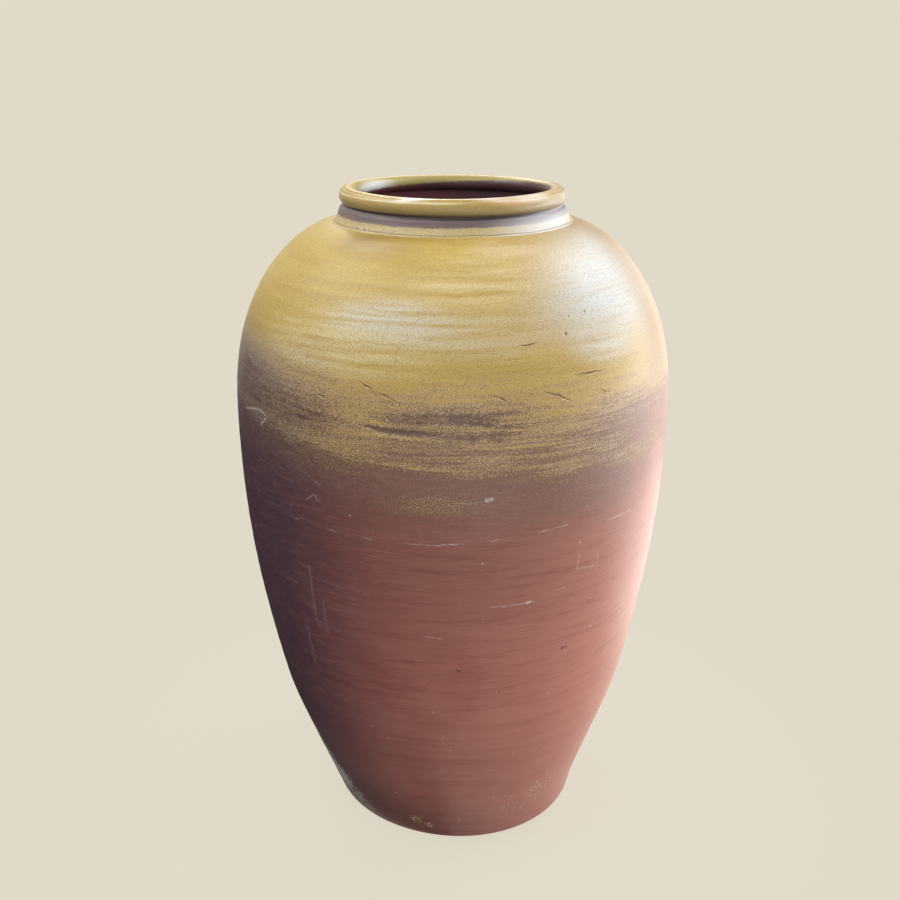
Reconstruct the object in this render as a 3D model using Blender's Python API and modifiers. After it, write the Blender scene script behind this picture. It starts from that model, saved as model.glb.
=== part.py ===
"""A large stoneware storage jar with a wide belly, a short neck and a rolled rim.

A jar of this size is too tall to throw in one go. The potter beats out a slab for the
base, then throws the wall as a stack of rings, each set on the scored, slanted edge of
the one below, and ends with a neck collar and a rolled rim. Firing makes them one pot.
Each of those pieces is its own object here, with a hairline gap at every joint.

Metres, +Z up. The origin is the centre of the face that the jar stands on.
"""

import math

import bpy

# Heights, each counted from the piece below
FLOOR_THICKNESS = 0.024  # the base slab, at the jar's inner floor
REBATE_DEPTH = 0.006  # the step round the slab's edge where the foot ring stands
FOOT_HEIGHT = 0.190  # from the ground to the joint on top of the foot ring
LOWER_WALL_HEIGHT = 0.324
BELLY_WALL_HEIGHT = 0.176
SHOULDER_HEIGHT = 0.166
NECK_HEIGHT = 0.021
BELLY_LEVEL = 0.410  # the widest level, above the joint on top of the foot ring

# Outer radii
BASE_RADIUS = 0.178
FOOT_TOP_RADIUS = 0.246
BELLY_RADIUS = 0.299
NECK_TOP_RADIUS = 0.149
NECK_FLARE = 0.012  # how much wider the neck is at its foot than at its top

# Wall
WALL_THICKNESS = 0.015  # measured level, inwards from the outer face
LEDGE_THICKNESS = 0.008  # the shoulder's thin edge that carries the neck
BASE_EDGE_RADIUS = 0.009  # the worn corner that the jar stands on

# Rolled rim
RIM_ROLL_RADIUS = 0.0116
RIM_OVERHANG = 0.0013  # how far the roll stands out past the neck's top
RIM_SEAT_SINK = 0.0030  # how far the neck's top edge reaches up into the roll

# Joints between the pieces
JOINT_RISE = 0.008  # how much higher a wall joint is inside the jar than outside
NECK_JOINT_RISE = 0.003
RIM_JOINT_RISE = 0.0015
JOINT_GAP = 0.0003

# Fullness of the curves: the exponents that bend the outline between two levels
LOWER_FULLNESS = 1.95
SHOULDER_FULLNESS = 2.35
SHOULDER_SHARPNESS = 0.62

# Facets
TURN_STEPS = 72
LOWER_WALL_STEPS = 8
BELLY_STEPS = 6
SHOULDER_STEPS = 11
NECK_STEPS = 6
RIM_STEPS = 18
BASE_EDGE_STEPS = 4
SHARP_ANGLE = math.radians(40)

# Levels worked out from the heights
SLAB_REBATE = FLOOR_THICKNESS - REBATE_DEPTH
FOOT_JOINT = FOOT_HEIGHT
LOWER_JOINT = FOOT_JOINT + LOWER_WALL_HEIGHT
BELLY_JOINT = LOWER_JOINT + BELLY_WALL_HEIGHT
NECK_JOINT = BELLY_JOINT + SHOULDER_HEIGHT
NECK_TOP = NECK_JOINT + NECK_HEIGHT
WIDEST_LEVEL = FOOT_JOINT + BELLY_LEVEL

# Radii worked out from the neck's top
NECK_FOOT_RADIUS = NECK_TOP_RADIUS + NECK_FLARE
NECK_BORE_RADIUS = NECK_TOP_RADIUS - WALL_THICKNESS
RIM_RING_RADIUS = NECK_TOP_RADIUS + RIM_OVERHANG - RIM_ROLL_RADIUS  # to the roll's middle


def shoulder_curve(level, top_level, widest, narrowest):
    """Radius of a curve that is upright at the widest level and leans in to top_level."""
    share = min(1.0, (level - WIDEST_LEVEL) / (top_level - WIDEST_LEVEL))
    lean = (1.0 - share**SHOULDER_FULLNESS) ** SHOULDER_SHARPNESS
    return narrowest + (widest - narrowest) * lean


def outer_radius(level):
    """Radius of the jar's outer face, from the ground to the foot of the neck."""
    if level <= FOOT_JOINT:
        return BASE_RADIUS + (FOOT_TOP_RADIUS - BASE_RADIUS) * level / FOOT_JOINT
    if level <= WIDEST_LEVEL:
        drop = ((WIDEST_LEVEL - level) / BELLY_LEVEL) ** LOWER_FULLNESS
        return BELLY_RADIUS - (BELLY_RADIUS - FOOT_TOP_RADIUS) * drop
    return shoulder_curve(level, NECK_JOINT, BELLY_RADIUS, NECK_FOOT_RADIUS)


def inner_radius(level):
    """Radius of the jar's inner face, from the floor to the thin edge under the neck."""
    if level <= WIDEST_LEVEL:
        return outer_radius(level) - WALL_THICKNESS
    ledge_level = NECK_JOINT - LEDGE_THICKNESS
    return shoulder_curve(level, ledge_level, BELLY_RADIUS - WALL_THICKNESS, NECK_BORE_RADIUS)


def levels(low, high, steps):
    """Levels from low to high, both included, evenly spaced."""
    return [low + (high - low) * i / steps for i in range(steps + 1)]


def levels_to_top(low, high, steps):
    """Levels from low to high that crowd together towards high, where the curve leans in."""
    return [low + (high - low) * math.sin(math.pi / 2 * i / steps) for i in range(steps + 1)]


def wall_ring_outline(outer_levels, inner_levels):
    """Closed outline of a wall ring: down its outer face, then up its inner face."""
    outer = [(outer_radius(level), level) for level in reversed(outer_levels)]
    inner = [(inner_radius(level), level) for level in inner_levels]
    return outer + inner


def base_slab_outline():
    """Half outline of the slab: over the floor, down the rebate, round the edge, to the axis."""
    rebate_radius = inner_radius(SLAB_REBATE) - JOINT_GAP
    lean = math.atan2(FOOT_TOP_RADIUS - BASE_RADIUS, FOOT_JOINT)
    # The arc of the worn corner touches the ground and the leaning outer face.
    reach = BASE_EDGE_RADIUS * math.tan((math.pi / 2 - lean) / 2)
    centre = BASE_RADIUS - reach
    points = [
        (0.0, FLOOR_THICKNESS),
        (rebate_radius, FLOOR_THICKNESS),
        (rebate_radius, SLAB_REBATE),
        (outer_radius(SLAB_REBATE), SLAB_REBATE),
    ]
    for i in range(BASE_EDGE_STEPS + 1):
        turn = lean + (math.pi / 2 - lean) * i / BASE_EDGE_STEPS
        points.append(
            (
                centre + BASE_EDGE_RADIUS * math.cos(turn),
                BASE_EDGE_RADIUS - BASE_EDGE_RADIUS * math.sin(turn),
            )
        )
    points.append((0.0, 0.0))
    return points


def foot_ring_outline():
    """Straight-sided ring that stands in the slab's rebate."""
    bottom = SLAB_REBATE + JOINT_GAP
    return wall_ring_outline([bottom, FOOT_JOINT], [bottom, FOOT_JOINT + JOINT_RISE])


def lower_wall_outline():
    bottom, top = FOOT_JOINT + JOINT_GAP, LOWER_JOINT
    return wall_ring_outline(
        levels(bottom, top, LOWER_WALL_STEPS),
        levels(bottom + JOINT_RISE, top + JOINT_RISE, LOWER_WALL_STEPS),
    )


def belly_wall_outline():
    bottom, top = LOWER_JOINT + JOINT_GAP, BELLY_JOINT
    return wall_ring_outline(
        levels(bottom, top, BELLY_STEPS),
        levels(bottom + JOINT_RISE, top + JOINT_RISE, BELLY_STEPS),
    )


def shoulder_outline():
    """The wall that closes in over the belly and ends in a thin edge under the neck."""
    bottom = BELLY_JOINT + JOINT_GAP
    ledge_level = NECK_JOINT - LEDGE_THICKNESS
    return wall_ring_outline(
        levels_to_top(bottom, NECK_JOINT, SHOULDER_STEPS),
        levels_to_top(bottom + JOINT_RISE, ledge_level, SHOULDER_STEPS),
    ) + [(NECK_BORE_RADIUS, NECK_JOINT + NECK_JOINT_RISE)]


def neck_outline():
    """The collar: a concave outer face, a seat for the roll on top and a plain bore."""
    bottom = NECK_JOINT + JOINT_GAP
    bend = ((NECK_TOP_RADIUS + NECK_FOOT_RADIUS) / 2, NECK_JOINT + NECK_JOINT_RISE / 2)
    points = [(rim_seat_radius(), NECK_TOP + RIM_SEAT_SINK)]
    for i in range(NECK_STEPS + 1):
        t = i / NECK_STEPS
        start, middle, end = (1 - t) ** 2, 2 * t * (1 - t), t**2
        points.append(
            (
                start * NECK_TOP_RADIUS + middle * bend[0] + end * NECK_FOOT_RADIUS,
                start * NECK_TOP + middle * bend[1] + end * bottom,
            )
        )
    points.append((NECK_BORE_RADIUS, bottom + NECK_JOINT_RISE))
    points.append((NECK_BORE_RADIUS, NECK_TOP + RIM_SEAT_SINK + RIM_JOINT_RISE))
    return points


def rim_seat_radius():
    """Where the underside of the roll meets its seat, on the outer side."""
    half_height = RIM_ROLL_RADIUS - RIM_SEAT_SINK
    return RIM_RING_RADIUS + math.sqrt(RIM_ROLL_RADIUS**2 - half_height**2)


def rim_outline():
    """The roll: a round bead, cut underneath along the slanted top of the neck."""
    half_height = RIM_ROLL_RADIUS - RIM_SEAT_SINK
    centre_level = NECK_TOP + RIM_ROLL_RADIUS + JOINT_GAP
    seat_reach = rim_seat_radius() - RIM_RING_RADIUS
    slope = RIM_JOINT_RISE / (rim_seat_radius() - NECK_BORE_RADIUS)
    # The seat's line leaves the circle again this far in from its outer end.
    width = 2 * (seat_reach + slope * half_height) / (1 + slope**2)
    outer_turn = math.atan2(-half_height, seat_reach)
    inner_turn = 2 * math.pi + math.atan2(slope * width - half_height, seat_reach - width)
    points = []
    for i in range(RIM_STEPS + 1):
        turn = inner_turn + (outer_turn - inner_turn) * i / RIM_STEPS
        points.append(
            (
                RIM_RING_RADIUS + RIM_ROLL_RADIUS * math.cos(turn),
                centre_level + RIM_ROLL_RADIUS * math.sin(turn),
            )
        )
    return points


def ceramic(name, colour, roughness):
    """A fired clay or glaze surface of one colour."""
    material = bpy.data.materials.new(name)
    material.use_nodes = True
    shader = material.node_tree.nodes["Principled BSDF"]
    shader.inputs["Base Color"].default_value = (*colour, 1.0)
    shader.inputs["Roughness"].default_value = roughness
    shader.inputs["Metallic"].default_value = 0.0
    return material


def turned(name, outline, material, collection, closed=True):
    """A solid turned about the jar's axis from an outline of (radius, level) points."""
    profile = bpy.data.meshes.new(name)
    edges = [(i, i + 1) for i in range(len(outline) - 1)]
    if closed:
        edges.append((len(outline) - 1, 0))
    profile.from_pydata([(radius, 0.0, level) for radius, level in outline], edges, [])
    spinner = bpy.data.objects.new(name + "_profile", profile)
    collection.objects.link(spinner)
    screw = spinner.modifiers.new("Turn", "SCREW")
    screw.axis = "Z"
    screw.angle = 2 * math.pi
    screw.steps = screw.render_steps = TURN_STEPS
    screw.use_merge_vertices = True
    screw.merge_threshold = 0.00001
    graph = bpy.context.evaluated_depsgraph_get()
    mesh = bpy.data.meshes.new_from_object(spinner.evaluated_get(graph))
    bpy.data.objects.remove(spinner)
    mesh.name = name
    mesh.shade_smooth()
    mesh.set_sharp_from_angle(angle=SHARP_ANGLE)
    mesh.materials.clear()
    mesh.materials.append(material)
    piece = bpy.data.objects.new(name, mesh)
    collection.objects.link(piece)
    return piece


def main():
    for old in list(bpy.data.objects):
        bpy.data.objects.remove(old)
    collection = bpy.data.collections.new("stoneware_jar")
    bpy.context.scene.collection.children.link(collection)

    slip = ceramic("iron_slip_clay", (0.178, 0.078, 0.066), 0.46)
    blend = ceramic("sprayed_ash_over_slip", (0.237, 0.147, 0.082), 0.45)
    glaze = ceramic("ochre_ash_glaze", (0.485, 0.352, 0.102), 0.38)
    bare = ceramic("bare_neck_clay", (0.181, 0.127, 0.132), 0.55)

    turned("base_slab", base_slab_outline(), slip, collection, closed=False)
    turned("foot_ring", foot_ring_outline(), slip, collection)
    turned("lower_wall", lower_wall_outline(), slip, collection)
    turned("belly_wall", belly_wall_outline(), blend, collection)
    turned("shoulder_wall", shoulder_outline(), glaze, collection)
    turned("neck_collar", neck_outline(), bare, collection)
    turned("rolled_rim", rim_outline(), glaze, collection)


main()
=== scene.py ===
# %% [markdown]
# # A tall stoneware jar
#
# The jar stands 0.9 m high. A potter throws such a jar in rings, joins them while the clay is
# wet, brushes it with a red iron slip and sprays ash glaze over the shoulder before firing.
# This lesson builds the fired skin around a imported CAD model, which fixes every size. The
# first cell loads that model.

# %% Load the imported model
import math

import bmesh
import bpy
from mathutils import Matrix, Vector, kdtree, noise


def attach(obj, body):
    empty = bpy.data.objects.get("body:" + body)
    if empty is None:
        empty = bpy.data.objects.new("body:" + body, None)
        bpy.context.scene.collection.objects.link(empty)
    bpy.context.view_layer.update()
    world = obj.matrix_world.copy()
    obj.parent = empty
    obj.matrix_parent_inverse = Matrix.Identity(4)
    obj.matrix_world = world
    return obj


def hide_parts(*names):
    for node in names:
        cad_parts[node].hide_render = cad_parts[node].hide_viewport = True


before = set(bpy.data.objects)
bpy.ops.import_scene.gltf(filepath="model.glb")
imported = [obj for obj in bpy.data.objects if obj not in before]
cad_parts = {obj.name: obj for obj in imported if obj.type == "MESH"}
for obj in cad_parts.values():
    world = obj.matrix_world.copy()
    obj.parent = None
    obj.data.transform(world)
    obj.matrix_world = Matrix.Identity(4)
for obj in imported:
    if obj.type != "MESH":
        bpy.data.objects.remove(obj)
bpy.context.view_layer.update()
print("CAD nodes:", ", ".join(sorted(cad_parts)))

# %% [markdown]
# ## The jar's outline
#
# A pot like this is known by its outline: a straight foot, a long wall that swells to the
# belly, a shoulder that closes in, a low neck and a rolled rim. The sizes below are the same
# as the CAD model's, in metres from the ground, and the formulas bend the wall between them.

# %% Sizes
SLAB_REBATE = 0.018  # where the foot ring stands on the base slab
FLOOR_LEVEL = 0.024
FOOT_JOINT = 0.190
LOWER_JOINT = 0.514
WIDEST_LEVEL = 0.600
BELLY_JOINT = 0.690
NECK_JOINT = 0.856
NECK_TOP = 0.877

BASE_RADIUS = 0.178
FOOT_TOP_RADIUS = 0.246
BELLY_RADIUS = 0.299
NECK_FOOT_RADIUS = 0.161
NECK_TOP_RADIUS = 0.149
NECK_BORE_RADIUS = 0.134
WALL_THICKNESS = 0.015
JOINT_SLANT = 0.008  # how much higher a joint lies inside than outside
BASE_EDGE_RADIUS = 0.009

ROLL_RADIUS = 0.0116
ROLL_RING_RADIUS = 0.1387  # from the jar's axis to the middle of the roll
ROLL_LEVEL = NECK_TOP + ROLL_RADIUS + 0.0003

# %% Outline of the wall
LOWER_FULLNESS = 1.95
SHOULDER_FULLNESS = 2.35
SHOULDER_SHARPNESS = 0.62
FOOT_SEAM_BLEND = 0.032  # how far above and below the foot's joint the sponge rounded it


def shoulder_curve(level, top_level, widest, narrowest):
    """Radius of a curve that is upright at the widest level and leans in to top_level."""
    share = min(1.0, (level - WIDEST_LEVEL) / (top_level - WIDEST_LEVEL))
    wide = (1.0 - share**SHOULDER_FULLNESS) ** SHOULDER_SHARPNESS
    return narrowest + (widest - narrowest) * wide


def plain_radius(level):
    """Outer radius as the CAD model has it, with a corner at the foot's joint."""
    if level <= FOOT_JOINT:
        return BASE_RADIUS + (FOOT_TOP_RADIUS - BASE_RADIUS) * level / FOOT_JOINT
    if level <= WIDEST_LEVEL:
        drop = ((WIDEST_LEVEL - level) / (WIDEST_LEVEL - FOOT_JOINT)) ** LOWER_FULLNESS
        return BELLY_RADIUS - (BELLY_RADIUS - FOOT_TOP_RADIUS) * drop
    return shoulder_curve(level, NECK_JOINT, BELLY_RADIUS, NECK_FOOT_RADIUS)


def wall_radius(level):
    """Outer radius with the corner at the foot's joint wiped round, as on the real jar."""
    straight = (FOOT_TOP_RADIUS - BASE_RADIUS) / FOOT_JOINT
    swelling = LOWER_FULLNESS * (BELLY_RADIUS - FOOT_TOP_RADIUS) / (WIDEST_LEVEL - FOOT_JOINT)
    share = min(1.0, abs(level - FOOT_JOINT) / FOOT_SEAM_BLEND)
    return plain_radius(level) - (straight - swelling) * FOOT_SEAM_BLEND / 4 * (1 - share) ** 2


NECK_BEND = (0.155, NECK_JOINT + 0.0015)  # radius and level of the point that bends the collar


def neck_spot(share):
    """Radius and level on the hollow face of the collar, from its top at 0 to its foot at 1."""
    a, b, c = (1 - share) ** 2, 2 * share * (1 - share), share * share
    radius = a * NECK_TOP_RADIUS + b * NECK_BEND[0] + c * NECK_FOOT_RADIUS
    return radius, a * NECK_TOP + b * NECK_BEND[1] + c * NECK_JOINT


def outer_radius(level):
    """Radius of the outside at any level below the roll, collar included."""
    if level <= NECK_JOINT:
        return wall_radius(level)
    fall, curve = NECK_TOP - NECK_BEND[1], NECK_TOP - 2 * NECK_BEND[1] + NECK_JOINT
    root = max(0.0, fall * fall - curve * (NECK_TOP - min(level, NECK_TOP)))
    return neck_spot((fall - math.sqrt(root)) / curve)[0]


def inner_radius(level):
    """Radius of the inside, which follows the outside at the wall's thickness."""
    if level <= WIDEST_LEVEL:
        return wall_radius(level) - WALL_THICKNESS
    widest = BELLY_RADIUS - WALL_THICKNESS
    return shoulder_curve(level, NECK_JOINT - JOINT_SLANT, widest, NECK_BORE_RADIUS)


print("radius at the foot, belly and neck:", [round(wall_radius(z), 4) for z in (0, 0.6, 0.856)])

# %% [markdown]
# ## Camera
#
# The view comes first, because it decides how much detail a piece needs. The camera stands as
# a person stands in front of a large jar: a step and a half away, at chest height, and tilted
# down. A 45 mm lens on a full frame gives the flattening of the base and the mouth.

# %% Camera
CAMERA_PLACE = (-0.0035, -1.520, 1.072)
CAMERA_TILT = 19.7  # degrees below the horizon
CAMERA_LENS = 44.94  # mm, on a sensor 36 mm wide

lens = bpy.data.cameras.new("camera")
lens.lens = CAMERA_LENS
lens.sensor_width = 36.0
camera = bpy.data.objects.new("camera", lens)
camera.location = CAMERA_PLACE
camera.rotation_euler = (math.radians(90 - CAMERA_TILT), 0.0, 0.0)
scene = bpy.context.scene
scene.collection.objects.link(camera)
scene.camera = camera
scene.view_settings.view_transform = "Standard"
print("camera is", round(Vector(CAMERA_PLACE).length, 3), "m from the jar's foot")

# %% [markdown]
# ## Helpers for materials
#
# A material is a tree of nodes. Colours are written as the eye sees them, in sRGB hex, and one
# function turns them into the linear values that shaders calculate with. Another adds a node,
# sets it and links it, and finds a socket by its name or by its place. Much on this jar changes
# slowly from one side to another, such as smoke, salt and soil. For that, a last one gives a
# number that grows along a direction, and noise can make its edge wander.

# %% Colours and nodes
RIGHT, UP = (1.0, 0.0, 0.0), (0.0, 0.0, 1.0)


def linear(code):
    """An sRGB hex colour as the linear values of a shader, with full alpha."""
    parts = [int(code[i : i + 2], 16) / 255 for i in (1, 3, 5)]
    return [p / 12.92 if p <= 0.04045 else ((p + 0.055) / 1.055) ** 2.4 for p in parts] + [1.0]


def add(tree, kind, values=None, **settings):
    """Add a node of that kind, set it up, link its inputs and return its first output."""
    node = tree.nodes.new("ShaderNode" + kind)
    for name, setting in settings.items():
        setattr(node, name, setting)
    sockets = [socket for socket in node.inputs if socket.enabled]
    for key, value in (values or {}).items():
        place = key if isinstance(key, int) else [s.name for s in sockets].index(key)
        if isinstance(value, bpy.types.NodeSocket):
            tree.links.new(value, sockets[place])
        else:
            sockets[place].default_value = value
    return next((socket for socket in node.outputs if socket.enabled), node)


def per_metre(size_mm):
    """How many times a size in millimetres fits into a metre: the scale of a pattern."""
    return 1000.0 / size_mm


def fade(tree, place, toward, start, end, least=0.0, most=1.0, ease="SMOOTHSTEP", wander=None):
    """A number from least to most between two distances along a direction."""
    far = add(tree, "VectorMath", {0: place, 1: toward}, operation="DOT_PRODUCT")
    if wander:
        pattern, reach = wander
        far = add(tree, "Math", {0: pattern, 1: reach, 2: far}, operation="MULTIPLY_ADD")
    values = {"Value": far, "From Min": start, "From Max": end, "To Min": least, "To Max": most}
    return add(tree, "MapRange", values, interpolation_type=ease)


def new_material(name):
    """A material with an empty tree, its tree, and the place on the object as a socket."""
    material = bpy.data.materials.new(name)
    material.use_nodes = True
    tree = material.node_tree
    tree.nodes.clear()
    return material, tree, tree.nodes.new("ShaderNodeTexCoord").outputs["Object"]


print("plain white in linear values:", linear("#ffffff"))

# %% [markdown]
# ## Studio: floor and surroundings
#
# The jar stands on a plain beige floor that runs out to a sky of the same beige, so the
# picture has no horizon. The floor is a large round sheet. Seen by the camera it is mostly its
# own even colour, and the rest of it is lit, which keeps a soft shadow at the jar's foot. The
# light that it sends up to the jar comes from a dark yard on the left and a pale one on the
# right.

# %% Floor and sky
BEIGE = "#e2dac9"
YARD = "#33323a"
FLOOR_RADIUS = 40.0
EVEN_SHARE = 0.88  # how much of the floor's colour is even and takes no shadow near the jar
EVEN_FROM, EVEN_TO = 0.20, 0.60  # metres from the axis between which the shadow fades out
SURROUNDING_LEVEL = 0.78  # how bright the room is for the jar, where 1 shows a colour as written


def seen_directly(tree):
    """1 for rays from the camera and for mirror images and glass, 0 for light that bounces."""
    rays = tree.nodes.new("ShaderNodeLightPath").outputs
    seen = rays["Is Camera Ray"]
    for kind in ("Is Glossy Ray", "Is Transmission Ray"):
        seen = add(tree, "Math", {0: seen, 1: rays[kind]}, operation="MAXIMUM")
    return seen


def sheet(name, body, material):
    """Turn a bmesh into an object of the studio."""
    mesh = bpy.data.meshes.new(name)
    body.to_mesh(mesh)
    body.free()
    mesh.materials.append(material)
    flat = bpy.data.objects.new(name, mesh)
    scene.collection.objects.link(flat)
    return flat


world = bpy.data.worlds.new("studio")
scene.world = world
world.use_nodes = True
tree = world.node_tree
tree.nodes.clear()
room = add(tree, "Background", {"Color": linear("#e6ebf2"), "Strength": SURROUNDING_LEVEL})
beige_sky = add(tree, "Background", {"Color": linear(BEIGE), "Strength": 1.0})
sky = add(tree, "MixShader", {0: seen_directly(tree), 1: room, 2: beige_sky})
add(tree, "OutputWorld", {"Surface": sky})

floor_paint, tree, place = new_material("beige_floor_paint")
paler = fade(tree, place, (1.0, 0.35, 0.0), -0.5, 0.9)
bounce = add(tree, "Mix", {0: paler, 1: linear(YARD), 2: linear(BEIGE)}, data_type="RGBA")
camera_ray = tree.nodes.new("ShaderNodeLightPath").outputs["Is Camera Ray"]
paint = add(tree, "Mix", {0: camera_ray, 1: bounce, 2: linear(BEIGE)}, data_type="RGBA")
lit = add(tree, "BsdfDiffuse", {"Color": paint})
even = add(tree, "Emission", {"Color": linear(BEIGE), "Strength": 1.0})
far = add(tree, "VectorMath", {0: place}, operation="LENGTH")
values = {"Value": far, "From Min": EVEN_FROM, "From Max": EVEN_TO, "To Min": EVEN_SHARE}
share = add(tree, "MapRange", {**values, "To Max": 1.0})
share = add(tree, "Math", {0: seen_directly(tree), 1: share}, operation="MULTIPLY")
add(tree, "OutputMaterial", {"Surface": add(tree, "MixShader", {0: share, 1: lit, 2: even})})

body = bmesh.new()
bmesh.ops.create_circle(body, cap_ends=True, segments=64, radius=FLOOR_RADIUS)
floor = sheet("floor", body, floor_paint)
print("floor:", 2 * FLOOR_RADIUS, "m across")

# %% [markdown]
# ## Lamps
#
# The jar stands under an open sky, with the sun behind it on the left. Tall lamps behind it on
# the right give the bright edge and the pale shoulder there, and a bright sheet on the floor
# throws light up on the foot. A lamp high on the left gives the shoulder its colour but hardly
# a mirror image. Weak lamps in front lift the middle, and a narrow one behind draws the crest
# of the rim. The small sun throws the shadow of the rim on the shoulder. A lamp's power is
# worked out from the level that it should give: a white surface that faces it at level 1 shows
# as white.

# %% Lamps
JAR_MIDDLE = Vector((0.0, 0.0, 0.50))
BLUISH, WHITE = "#eef2ff", "#ffffff"
LAMPS = [
    # name, azimuth, elevation, distance, width, height, level, colour, strength of its mirror image
    ("right_strip", 112, 22, 2.2, 0.7, 2.6, 0.44, BLUISH, 1.0),
    ("edge_strip", 142, 2, 2.2, 0.7, 1.6, 0.16, "#f4f2f6", 0.5),
    ("back_right_lamp", 112, 48, 2.6, 1.6, 1.0, 0.31, BLUISH, 1.0),
    ("right_lamp", 104, -2, 2.4, 1.0, 0.8, 0.26, BLUISH, 1.0),
    ("yard_lamp", 80, -9, 2.0, 1.0, 0.45, 0.20, WHITE, 1.0),
    ("left_sky_lamp", -85, 48, 2.6, 1.8, 1.4, 0.39, WHITE, 0.35),
    ("haze_lamp", -32, 62, 2.6, 0.9, 0.4, 0.15, WHITE, 1.0),
    ("front_lamp", 0, 8, 2.6, 1.5, 1.0, 0.12, WHITE, 1.0),
    ("front_floor_lamp", 15, -9, 2.0, 1.0, 0.45, 0.08, WHITE, 1.0),
    ("crest_lamp", -172, 38, 2.6, 0.7, 0.25, 0.15, WHITE, 1.0),
]
REFLECTOR_PLACE = (1.12, 0.62, 0.012)  # a bright sheet that lies on the floor on the right
REFLECTOR_SIZE = 1.15
REFLECTOR_LEVEL = 2.1
SUN_AZIMUTH, SUN_ELEVATION, SUN_LEVEL = -150, 48, 0.14
SUN_SPREAD = 1.6  # degrees, which sets how soft the rim's shadow is


def direction(azimuth, elevation):
    """Unit vector out from the jar: azimuth 0 is towards the camera and 90 to the right."""
    turn, rise = math.radians(azimuth), math.radians(elevation)
    level = math.cos(rise)
    return Vector((math.sin(turn) * level, -math.cos(turn) * level, math.sin(rise)))


def lamp(name, kind, energy, colour=WHITE, mirrored=1.0):
    """A lamp of that kind, hidden from the camera."""
    light = bpy.data.lights.new(name, kind)
    light.energy = energy
    light.color = linear(colour)[:3]
    light.specular_factor = mirrored
    source = bpy.data.objects.new(name, light)
    source.visible_camera = False
    scene.collection.objects.link(source)
    print(name, "has a power of", round(energy, 2))
    return source


for name, azimuth, elevation, distance, width, height, level, colour, mirrored in LAMPS:
    soft = lamp(name, "AREA", level * (math.pi * distance) ** 2, colour, mirrored)
    soft.data.shape = "RECTANGLE"
    soft.data.size, soft.data.size_y = width, height
    out = direction(azimuth, elevation)
    soft.location = JAR_MIDDLE + out * distance
    soft.rotation_euler = out.to_track_quat("Z", "Y").to_euler()

power = REFLECTOR_LEVEL * math.pi * REFLECTOR_SIZE**2
reflector = lamp("floor_reflector", "AREA", power, "#fff4ee")
reflector.data.shape = "SQUARE"
reflector.data.size = REFLECTOR_SIZE
reflector.location = REFLECTOR_PLACE
reflector.rotation_euler = (math.pi, 0.0, 0.0)

sun = lamp("sun", "SUN", SUN_LEVEL * math.pi, mirrored=0.1)
sun.data.angle = math.radians(SUN_SPREAD)
sun.rotation_euler = direction(SUN_AZIMUTH, SUN_ELEVATION).to_track_quat("Z", "Y").to_euler()

# %% [markdown]
# ## Dark cards
#
# The left side of the jar faces a dark part of the yard, so it goes almost black. Studio
# photographers get this with dark cards beside the object, just outside the picture. One card
# stands on the left. The other lies beside the jar's foot, and only mirror images show it, so
# that the floor keeps its even light. The cards fade to the floor's own tone towards the jar,
# and the lying one ends in a slant, so no card edge shows in the glaze. The camera sees neither.

# %% Dark cards on the left
CARD_DISTANCE = 1.30
CARD_FOOT = 0.184  # radius of the cut that lets the lying card pass round the foot
CARD_SLANT = -0.32  # where the lying card's right edge ends in front
CARD_LENGTH = 2.8
CARD_HEIGHT = 0.85
CARD_BACK = 1.75  # how far behind the jar both cards reach
CARD_GAP = 0.003

card_felt, tree, place = new_material("black_card")
paler = fade(tree, place, (1.0, 0.15, 0.0), -0.42, -0.03)
felt = add(tree, "Mix", {0: paler, 1: linear("#2b2e38"), 2: linear("#a89a8b")}, data_type="RGBA")
add(tree, "OutputMaterial", {"Surface": add(tree, "BsdfDiffuse", {"Color": felt})})


def card(name, corners):
    """A flat card with those corners, hidden from the camera and from the lamps."""
    body = bmesh.new()
    body.faces.new([body.verts.new(corner) for corner in corners])
    flat = sheet(name, body, card_felt)
    flat.visible_camera = False
    flat.visible_shadow = False
    return flat


front, left = CARD_BACK - CARD_LENGTH, -CARD_DISTANCE
standing = [(front, CARD_GAP), (CARD_BACK, CARD_GAP), (CARD_BACK, CARD_HEIGHT), (front, CARD_HEIGHT)]
card("standing_card", [(left, y, z) for y, z in standing])
cut = [direction(turn, 0.0) * CARD_FOOT for turn in range(0, -130, -10)]
lying = [(left, front), (CARD_SLANT, front)] + [(spot.x, spot.y) for spot in cut]
lying += [(cut[-1].x, CARD_BACK), (left, CARD_BACK)]
lying_card = card("lying_card", [(x, y, CARD_GAP) for x, y in lying])
lying_card.visible_diffuse = False
print("cards:", CARD_LENGTH, "m long, standing", CARD_HEIGHT, "m high")

# %% [markdown]
# ## Turning a piece
#
# On the wheel every piece is a half outline that runs round the axis. Blender's spin does the
# same: a chain of points is swept through a full turn. Each point carries four numbers along:
# its radius, the direction in which its surface faces, and whether it lies on the outer skin.
# With these the clay can be pushed in or out later, at right angles to its own surface.

# %% Spin an outline
TURN_STEPS = 480  # 3.9 mm apart at the belly
SECTORS = 8  # one eighth is spun and then copied round, because a long spin is slow
ROW_SPACING, INNER_SPACING = 0.0025, 0.02
CARRIED = ("radius", "facing_out", "facing_up", "skin")


def rows(low, high, spacing):
    """Evenly spaced levels from low to high, at most that far apart."""
    count = max(1, math.ceil(abs(high - low) / spacing))
    return [low + (high - low) * i / count for i in range(count + 1)]


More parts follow.
